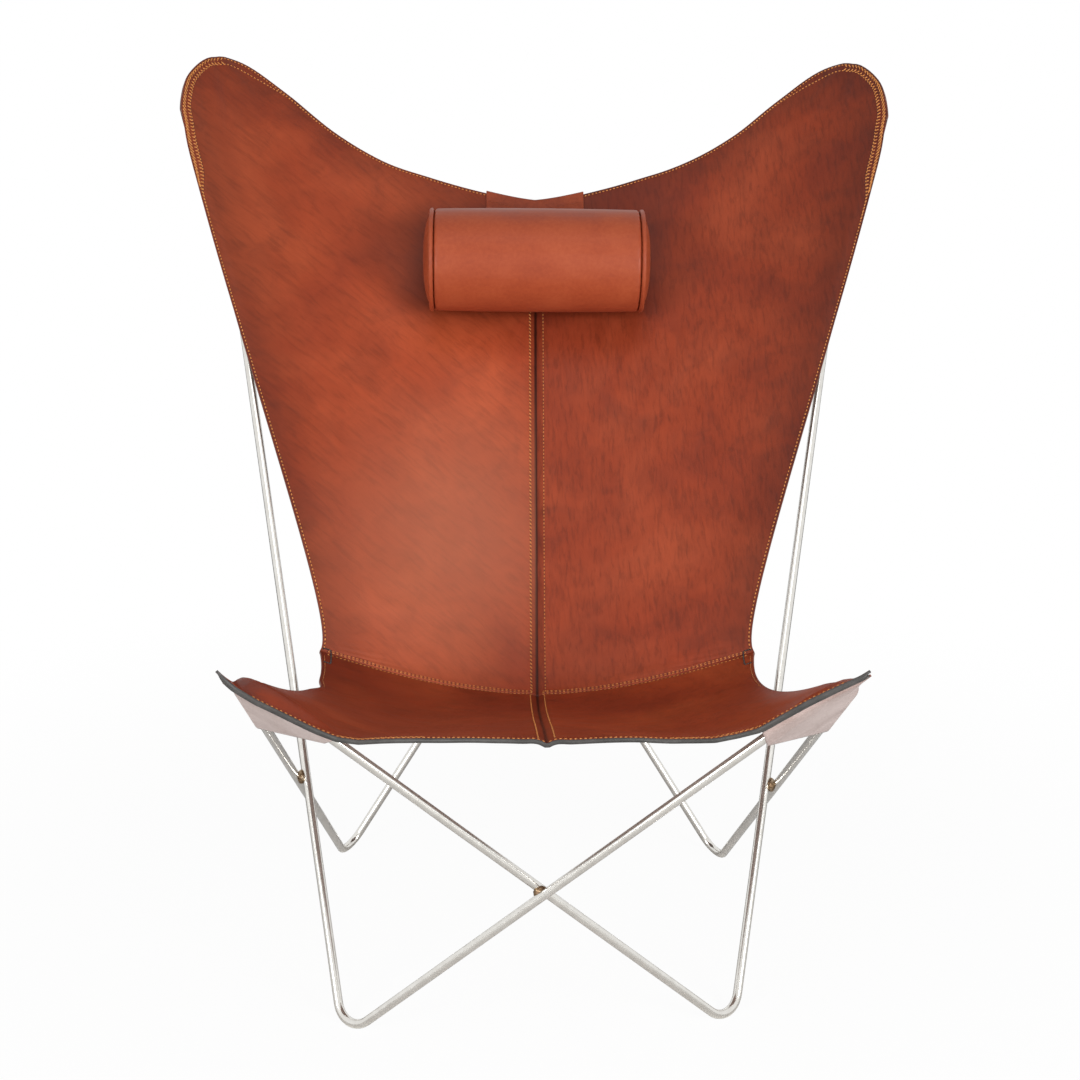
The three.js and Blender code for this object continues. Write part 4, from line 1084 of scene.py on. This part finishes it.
def sewSeams(side, sign):
    bm = bmesh.new()
    def besideSeam(reach):
        return SewnPath(straight((sign * reach, sewing["seamFrom"]), (sign * reach, sewing["seamTo"]), 60))
    if sign < 0:
        # the left row is sewn with broad slanting stitches
        sewSlanted(bm, *(besideSeam(reach) for reach in sewing["slantInsets"]))
    else:
        sewRow(bm, besideSeam(sewing["seamInset"]), radius=sewing["seamRadius"])
    for along, radius in sewing["foldRows"]:
        end = halfWidthAt(along) - sewing["foldMargin"]
        foldRow = SewnPath(straight((sign * sewing["foldStart"], along), (sign * end, along), 60))
        sewRow(bm, foldRow, radius=radius)
    seatSeam = sign * sewing["seatInset"]
    sewRow(bm, SewnPath(straight((seatSeam, sewing["seatFrom"]), (seatSeam, sewing["seatTo"]), 40)))
    frontEnd = halfWidthAt(-1) - sewing["frontMargin"]
    front = straight((sign * sewing["frontStart"], -1.0), (sign * frontEnd, -1.0), 90)
    sewRow(bm, SewnPath(insetPlaces(front, lambda share: sewing["frontInset"], -sign)))
    second = insetPlaces(front, lambda share: sewing["frontSecond"], -sign)
    second = [place for place in second if sewing["secondFrom"] < abs(place[0]) < sewing["secondTo"]]
    sewRow(bm, SewnPath(second))
    alongs = (along for _, along in straight((0, sewing["seatFrom"]), (0, sewing["sideTo"]), 40))
    flank = [(sign * seatReach(sign, along), along) for along in alongs]
    flankRow = SewnPath(insetPlaces(flank, lambda share: sewing["sideInset"], sign))
    sewRow(bm, flankRow, radius=sewing["sideRadius"])
    addPiece("seamStitching" + side, bm, ["thread", "paintedHoleShade"])


def sewBarTack(side, sign):
    # three sides of a box, open at the edge of the hide
    near, far = sewing["tackInsets"]
    start, end = sewing["tackFrom"], sewing["tackTo"]
    corners = [(sign * (halfWidthAt(along) - reach), along)
               for reach, along in ((near, start), (far, start), (far, end), (near, end))]
    bm = bmesh.new()
    for a, b in zip(corners, corners[1:]):
        sewRow(bm, SewnPath(straight(a, b, 6), sewing["tackLift"]), radius=sewing["tackRadius"],
               length=sewing["tackLength"], gap=sewing["tackGap"])
    addPiece("barTack" + side, bm, ["darkThread", "paintedHoleShade"])


for sewnSide, sewnSign, _ in layout["sides"]:
    sewOutline(sewnSide, sewnSign)
    sewSeams(sewnSide, sewnSign)
    sewBarTack(sewnSide, sewnSign)
print("chair: stitching sewn")


# ---- neck roll

roll = {
    "crown": 2.0, "crownShare": 0.6, "sides": 96, "coverSteps": 24, "under": 0.6, "endStep": 1.2,
    "endGap": 0.4,
    "voxel": 0.0042, "pinned": 5, "cap": 0.0022, "frames": 20, "joined": 1e-6,
    "pipingRadius": 2.9, "pipingSides": 160, "cordSides": 16, "pull": 0.16, "pulls": 38,
    "capSides": 128, "capSteps": 18, "bulgeShare": 0.99, "bulgePower": 0.8, "rimPower": 0.85,
    "gather": 0.45, "gathers": 26, "gatherWander": 1.3, "wanderScale": 60, "rimRise": (0.55, 0.92),
    "rimFall": (0.97, 1.0),
}
stuffing = {
    "quality": 6, "mass": 0.3, "tension_stiffness": 18, "compression_stiffness": 18, "bending_stiffness": 12,
    "use_pressure": True, "uniform_pressure_force": 1.5, "vertex_group_mass": "pins",
}
coverLow, coverHigh = boxOf("roll_cover")
rollCentre = (coverLow + coverHigh) / 2
rollRadius = (coverHigh.z - coverLow.z) / 2 - roll["crown"] * unit
coverHalf = (coverHigh.x - coverLow.x) / 2


def spinAboutRoll(profile, steps):
    # profile: distance along the axis and radius, in metres
    bm = bmesh.new()
    verts = [bm.verts.new((x, 0, radius)) for x, radius in profile]
    edges = [bm.edges.new(pair) for pair in zip(verts, verts[1:])]
    bmesh.ops.spin(bm, geom=verts + edges, cent=(0, 0, 0), axis=(1, 0, 0), angle=2 * pi, steps=steps,
                   use_merge=True, use_duplicate=False)
    bmesh.ops.remove_doubles(bm, verts=bm.verts, dist=roll["joined"])
    bmesh.ops.recalc_face_normals(bm, faces=bm.faces)
    bmesh.ops.translate(bm, verts=bm.verts, vec=rollCentre)
    return bm


def evaluated(piece):
    return piece.evaluated_get(bpy.context.evaluated_depsgraph_get())


def simulatePadding(piece):
    # the cover is blown up a little inside its sewn ends, so that it pulls and puckers there
    remesh = piece.modifiers.new("even faces", "REMESH")
    remesh.mode = "VOXEL"
    remesh.voxel_size = roll["voxel"]
    even = bpy.data.meshes.new_from_object(evaluated(piece))
    piece.modifiers.clear()
    for material in piece.data.materials:
        if material.name not in even.materials:
            even.materials.append(material)
    piece.data = even
    for polygon in even.polygons:
        polygon.use_smooth = True
    pins = piece.vertex_groups.new(name="pins")
    pinnedFrom = coverHalf - roll["pinned"] * unit
    pins.add([v.index for v in even.vertices if abs(v.co.x) > pinnedFrom], 1.0, "REPLACE")
    start = [v.co.copy() for v in even.vertices]
    cloth = piece.modifiers.new("cloth", "CLOTH")
    for setting, value in stuffing.items():
        setattr(cloth.settings, setting, value)
    cloth.settings.effector_weights.gravity = 0
    cloth.collision_settings.use_collision = False
    for number in range(1, roll["frames"] + 1):
        bpy.context.scene.frame_set(number)
    ends = [v.co.copy() for v in evaluated(piece).data.vertices]
    piece.modifiers.clear()
    bpy.context.scene.frame_set(1)
    for v, a, b in zip(even.vertices, start, ends):
        shift = b - a
        if shift.length > roll["cap"]:
            shift = shift.normalized() * roll["cap"]
        v.co = a + shift


def buildCover():
    inner = rollRadius - roll["under"] * unit
    end = [(coverHalf, 0), (coverHalf, inner * 0.5), (coverHalf, inner - roll["endStep"] * unit)]
    profile = [(-x, radius) for x, radius in end]
    for k in range(roll["coverSteps"] + 1):
        share = lerp(-1, 1, k / roll["coverSteps"])
        rise = roll["crown"] * unit * (1 - share ** 2) * roll["crownShare"]
        profile.append((share * (coverHalf - roll["endGap"] * unit), inner + rise))
    cover = addPiece("rollCover", spinAboutRoll(profile + end[::-1], roll["sides"]), ["roll"],
                     ["roll_cover", "roll_core"], body="headrest")
    simulatePadding(cover)
    smooth = cover.modifiers.new("smooth", "SUBSURF")
    smooth.levels = smooth.render_levels = 1


def buildPiping(name, sign):
    # a cord wrapped in leather, with small pulls where it is sewn
    low, high = boxOf(nodeOf(name))
    middle = (low.x + high.x) / 2 - rollCentre.x
    cord = roll["pipingRadius"] * unit
    ring = (high.z - low.z) / 2 - cord
    turns = [2 * pi * k / roll["cordSides"] for k in range(roll["cordSides"] + 1)]
    profile = [(middle + cord * cos(turn), ring + cord * sin(turn)) for turn in turns]
    bm = spinAboutRoll(profile, roll["pipingSides"])
    for v in bm.verts:
        angle = atan2(v.co.z - rollCentre.z, v.co.y - rollCentre.y)
        v.co.x += roll["pull"] * unit * sin(angle * roll["pulls"]) * sign
    addPiece(name, bm, ["roll"], [nodeOf(name)], body="headrest")


def buildCap(name, sign):
    # a domed disc, gathered at its rim
    low, high = boxOf(nodeOf(name))
    inside = (high.x if sign < 0 else low.x) - rollCentre.x
    capRadius = (high.z - low.z) / 2
    bulge = (high.x - low.x) * roll["bulgeShare"]
    profile = [(inside, 0), (inside, capRadius * 0.6), (inside, capRadius)]
    steps = roll["capSteps"]
    for k in range(1, steps + 1):
        angle = pi / 2 * k / steps
        radius = capRadius * cos(angle) ** roll["rimPower"] if k < steps else 0
        profile.append((inside + sign * bulge * sin(angle) ** roll["bulgePower"], radius))
    bm = spinAboutRoll(profile, roll["capSides"])
    for v in bm.verts:
        local = v.co - rollCentre
        reach = hypot(local.y, local.z) / capRadius
        rim = smoothstep(reach, *roll["rimRise"]) * (1 - smoothstep(reach, *roll["rimFall"]))
        wander = roll["gatherWander"] * noise.noise(local * roll["wanderScale"])
        gather = sin(atan2(local.z, local.y) * roll["gathers"] + wander) * rim
        v.co.x -= sign * roll["gather"] * unit * (1 + gather) * rim
    cap = addPiece(name, bm, ["roll"], [nodeOf(name)], body="headrest")


buildCover()
for rollSide, rollSign, _ in layout["sides"]:
    buildPiping("rollPiping" + rollSide, rollSign)
    buildCap("rollCap" + rollSide, rollSign)
print("chair: neck roll built")


# ---- band over the top edge, and the counterweight behind

band = {"width": 128, "thickness": 2, "bevel": 0.3, "overReach": 12, "sewnAt": 0.742, "facingAt": 0.745,
        "crease": 0.5, "creaseAt": 4, "creaseLean": 0.4, "creaseWidth": 3.5, "creaseFade": (-12, 2),
        "hollow": 0.25, "hollowAt": 24, "hollowWidth": 9}
bandPitch = (sling["leather"] + band["thickness"]) / 2 + sling["fit"]


def bandEdge(x):
    middle = sling["topEdge"][0]
    column = asin(abs(x) / halfWidthAt(middle)) * 2 / pi
    out = slingNormal(0, middle)
    up = Vector((1, 0, 0)).cross(out).normalized()
    return slingPoint(x, topEdgeAt(column)), out, up if up.z > 0 else -up


hangAngle = acos(-bandEdge(0)[2].z)
bandArc = bandPitch * hangAngle


def bandOver(x, place):
    point, out, up = bandEdge(x)
    angle = clamp(place / bandPitch, 0, hangAngle)
    result = point + out * bandPitch * cos(angle) + up * bandPitch * sin(angle)
    if place < 0:
        result += up * place
    if place > bandArc:
        result.z -= place - bandArc
    return result


def wrinkle(x, place):
    crease = bell(x + band["creaseLean"] * place - band["creaseAt"], band["creaseWidth"])
    hollow = bell(x - band["hollowAt"], band["hollowWidth"])
    return band["crease"] * crease * smoothstep(place, *band["creaseFade"]) - band["hollow"] * hollow


def addBand(name, grid, placeAt, pointAt, towards, body):
    bm = sheetFrom(placeAt, grid, lambda *place: toScene(pointAt(*place)))
    return addSheet(name, bm, towards, band["thickness"], "band", band["bevel"], body)


def buildBand():
    half, reach = band["width"] / 2, band["overReach"]
    def overPoint(x, place):
        # creased in front, where it is pulled over the low middle of the edge
        return bandOver(x, place) + (bandEdge(x)[1] * wrinkle(x, place) if place < 0 else Vector())
    addBand("bandOverEdge", (48, 44), lambda a, b: (lerp(-half, half, a), lerp(-reach, bandArc + reach, b)),
            overPoint, (0, 0, 1), "chair")

    # in front it runs down to the roll, where it is sewn on behind
    low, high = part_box("band_front")
    facing = slingNormal(0, band["facingAt"])
    behindRoll = rollRadius / unit + roll["crown"] + sling["fit"] + band["thickness"] / 2
    sewn = (rollCentre / unit - Vector((0, layout["depthShift"], 0))).dot(facing) - behindRoll
    def frontPoint(x, b):
        onBack = slingPoint(x, band["sewnAt"]) + slingNormal(x, band["sewnAt"]) * bandPitch
        bottom = onBack + facing * (sewn - onBack.dot(facing))
        return bandOver(x, -reach).lerp(bottom, 1 - b)
    front = addBand("bandFront", (40, 30), lambda a, b: (lerp(-half, half, a), b), frontPoint,
                    (0, -0.8, 0.6), None)
    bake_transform(front)

    # behind it hangs plumb to the counterweight
    low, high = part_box("band_rear")
    def rearPoint(x, b):
        bottom = Vector((x, bandOver(0, bandArc + reach).y, low[2] / unit))
        return bandOver(x, bandArc + reach).lerp(bottom, 1 - b)
    rear = addBand("bandRear", (40, 44), lambda a, b: (lerp(-half, half, a), b), rearPoint, (0, 1, 0), None)
    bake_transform(rear)


buildBand()

# Counterweight: a folded leather pouch, open at its ends, round a flat steel bar
pouch = {"wall": 2.0, "bevel": 0.3, "corner": 8.5, "cornerSteps": 8, "lengthCuts": 60, "heightCuts": 20,
         "swell": 0.07, "uneven": 0.25, "unevenScale": 40, "seamInset": 5.0, "stitch": 3.4, "pitch": 4.6,
         "firstStitch": 3, "stitchRadius": 0.45}


def buildPouch():
    low, high = boxOf("counterweight_pouch")
    middle, size = (low + high) / 2, high - low
    def pressed(x, z):
        # flatter towards its edges
        return 1 - pouch["swell"] * (1 - cos(x / size.x * pi) * cos(z / size.z * pi))
    bm = bmesh.new()
    bmesh.ops.create_cube(bm, size=1.0)
    bmesh.ops.scale(bm, verts=bm.verts, vec=size)
    bmesh.ops.delete(bm, geom=[f for f in bm.faces if abs(f.normal.x) > 0.9], context="FACES_ONLY")
    def edgesAlong(axis, least):
        return [e for e in bm.edges if abs((e.verts[0].co - e.verts[1].co)[axis]) > least]
    bmesh.ops.bevel(bm, geom=edgesAlong(0, 0.01), offset=pouch["corner"] * unit, offset_type="OFFSET",
                    segments=pouch["cornerSteps"], profile=0.5, affect="EDGES", material=-1)
    bmesh.ops.subdivide_edges(bm, edges=edgesAlong(0, 0.01), cuts=pouch["lengthCuts"], use_grid_fill=True)
    bmesh.ops.subdivide_edges(bm, edges=edgesAlong(2, 0.02), cuts=pouch["heightCuts"], use_grid_fill=True)
    for v in bm.verts:
        v.co.y *= pressed(v.co.x, v.co.z)
        v.co.z += pouch["uneven"] * unit * noise.noise(v.co * pouch["unevenScale"])
        v.co += middle
    bmesh.ops.recalc_face_normals(bm, faces=bm.faces)
    piece = addPiece("counterweightPouch", bm, ["band", "flesh", "edge"],
                     ["counterweight_pouch"], body="counterweight")
    addThickness(piece, pouch["wall"], pouch["bevel"], -1.0)
    bm = bmesh.new()
    seamInset = pouch["seamInset"] * unit
    stitch = Vector((pouch["stitch"] * unit, 0, 0))
    for z in (low.z + seamInset, high.z - seamInset):
        for face in (-1, 1):
            for k in range(int(size.x / unit / pouch["pitch"]) - 1):
                x = low.x + (pouch["firstStitch"] + pouch["pitch"] * k) * unit
                depth = face * size.y / 2 * pressed(x + stitch.x / 2 - middle.x, z - middle.z)
                start = Vector((x, middle.y + depth, z))
                addStitch(bm, start, start + stitch, Vector((0, face, 0)), pouch["stitchRadius"])
    addPiece("pouchStitching", bm, ["thread"], body="counterweight")
    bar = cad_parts["counterweight_bar"]
    bar.data.materials.clear()
    bar.data.materials.append(finishes["bar"])


buildPouch()
print("chair: band and counterweight built")


# each as width and length, area in square metres where its outline is no rectangle, how it is held, and what
# it lies on or hangs from
loops, backs, seats = list(rods["loops"]), ["backLeft", "backRight"], ["seatLeft", "seatRight"]
cuts = {
    "backSeamStrip": ((0.028, 0.69), None, "laid", backs),
    "seatSeamStrip": ((0.028, 0.4), None, "laid", seats),
    "foldStrip": ((0.043, 0.56), None, "laid", seats),
    "frontEdgeStrip": ((0.016, 0.42), None, "laid", seats),
    "bandOverEdge": ((0.128, 0.031), None, "draped", backs),
    "bandFront": ((0.128, 0.124), None, "hung", ["bandOverEdge"]),
    "bandRear": ((0.128, 0.19), None, "hung", ["bandOverEdge"]),
    "counterweightPouch": ((0.132, 0.155), None, "folded", ["bandRear"]),
    "backLeft": ((0.53, 0.99), 0.267, "stretched", loops),
    "backRight": ((0.53, 0.99), 0.267, "stretched", loops),
    "seatLeft": ((0.34, 0.48), 0.117, "stretched", loops),
    "seatRight": ((0.34, 0.48), 0.117, "stretched", loops),
    "wingPocketLeft": ((0.22, 0.26), 0.0315, "stretched", ["backLeft"]),
    "wingPocketRight": ((0.22, 0.26), 0.0315, "stretched", ["backRight"]),
    "seatPocketLeft": ((0.13, 0.2), 0.0165, "stretched", ["seatLeft"]),
    "seatPocketRight": ((0.13, 0.2), 0.0165, "stretched", ["seatRight"]),
}
for pieceName, (flat, area, held, carriers) in cuts.items():
    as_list(carriers)


# ---- stage, light and camera

# each lamp as its place, what it is turned to, its size in metres and its power
studio = {
    "floor": "f4f3f1", "floorFade": (0.25, 1.5), "floorGlow": 0.955, "ambient": 0.19,
    "lamps": {
        "key softbox": ((1.45, -2.05, 1.0), (0, 0.1, 0.6), (0.9, 0.9), 38.0),
        "fill softbox": ((-1.45, -2.05, 1.0), (0, 0.1, 0.6), (0.9, 0.9), 31.0),
        "top softbox": ((0.0, -1.1, 2.5), (0, 0.1, 0.5), (1.2, 0.8), 5.0),
    },
}


def buildFloor():
    bm = bmesh.new()
    bmesh.ops.create_grid(bm, x_segments=8, y_segments=8, size=14)
    mesh = bpy.data.meshes.new("floor")
    bm.to_mesh(mesh)
    bm.free()
    floor = bpy.data.objects.new("floor", mesh)
    bpy.context.scene.collection.objects.link(floor)
    finish = Finish("matt white studio floor", Roughness=0.9, Base_Color=colour(studio["floor"]))
    # away from the chair the floor turns into the plain white of the backdrop
    distance = finish.length(finish.place)
    fade = finish.rescale(distance, studio["floorFade"], (studio["floorGlow"], 1.0), "SMOOTHSTEP")
    seen = finish.math("MULTIPLY", fade, finish.add("LightPath").outputs["Is Camera Ray"])
    white = finish.add("Emission", {"Color": (1, 1, 1, 1), "Strength": 1.0}).outputs[0]
    mixed = finish.add("MixShader", {0: seen, 1: finish.shader.outputs["BSDF"], 2: white}).outputs[0]
    finish.tree.links.new(mixed, finish.output.inputs["Surface"])
    mesh.materials.append(finish.material)


def buildWorld():
    world = bpy.data.worlds.new("studio")
    bpy.context.scene.world = world
    world.use_nodes = True
    tree = world.node_tree
    tree.nodes.clear()
    # plain white where it is looked at or mirrored, and dimmer as a light
    path = addNode(tree, "LightPath").outputs
    seen = path["Is Camera Ray"]
    for ray in ("Is Glossy Ray", "Is Transmission Ray"):
        seen = addNode(tree, "Math", {0: seen, 1: path[ray]}, operation="MAXIMUM").outputs[0]
    soft, plain = (addNode(tree, "Background", {"Color": (1, 1, 1, 1), "Strength": strength}).outputs[0]
                   for strength in (studio["ambient"], 1.0))
    mixed = addNode(tree, "MixShader", {0: seen, 1: soft, 2: plain}).outputs[0]
    addNode(tree, "OutputWorld", {"Surface": mixed})


def addSoftbox(name, place, aim, size, power):
    data = bpy.data.lights.new(name, "AREA")
    data.shape = "RECTANGLE"
    data.size, data.size_y = size
    data.energy = power
    lamp = bpy.data.objects.new(name, data)
    lamp.location = place
    lamp.rotation_euler = (Vector(aim) - Vector(place)).to_track_quat("-Z", "Y").to_euler()
    bpy.context.scene.collection.objects.link(lamp)


buildFloor()
buildWorld()
for lampName, lampSettings in studio["lamps"].items():
    addSoftbox(lampName, *lampSettings)

# The camera stands where the photograph's was, worked out from the rods and the sling's outline.
camera = {"focal": 1821.0, "picture": 1080, "sensor": 36.0, "distance": 1801.0, "height": 1014.0,
          "pitch": 14.55, "yaw": 1.5, "roll": 0.60, "aside": 2.6, "turnDepth": 300.0}


def buildCamera():
    data = bpy.data.cameras.new("camera")
    data.sensor_width = camera["sensor"]
    data.sensor_fit = "HORIZONTAL"
    data.lens = camera["focal"] / camera["picture"] * camera["sensor"]
    shot = bpy.data.objects.new("camera", data)
    bpy.context.scene.collection.objects.link(shot)
    back = Matrix.Rotation(-radians(camera["yaw"]), 3, "Z")
    pivot = Vector((0, camera["turnDepth"], 0))
    spot = back @ (Vector((camera["aside"], -camera["distance"], camera["height"])) - pivot) + pivot
    pitch, tilt = radians(camera["pitch"]), radians(camera["roll"])
    right, up = Vector((1, 0, 0)), Vector((0, sin(pitch), cos(pitch)))
    forward = Vector((0, cos(pitch), -sin(pitch)))
    turnedRight = right * cos(tilt) + up * sin(tilt)
    turnedUp = up * cos(tilt) - right * sin(tilt)
    frameMatrix = Matrix((back @ turnedRight, back @ turnedUp, back @ -forward)).transposed().to_4x4()
    shot.matrix_world = Matrix.Translation(toScene(spot)) @ frameMatrix
    bpy.context.scene.camera = shot


buildCamera()
bpy.context.scene.view_settings.view_transform = "Standard"
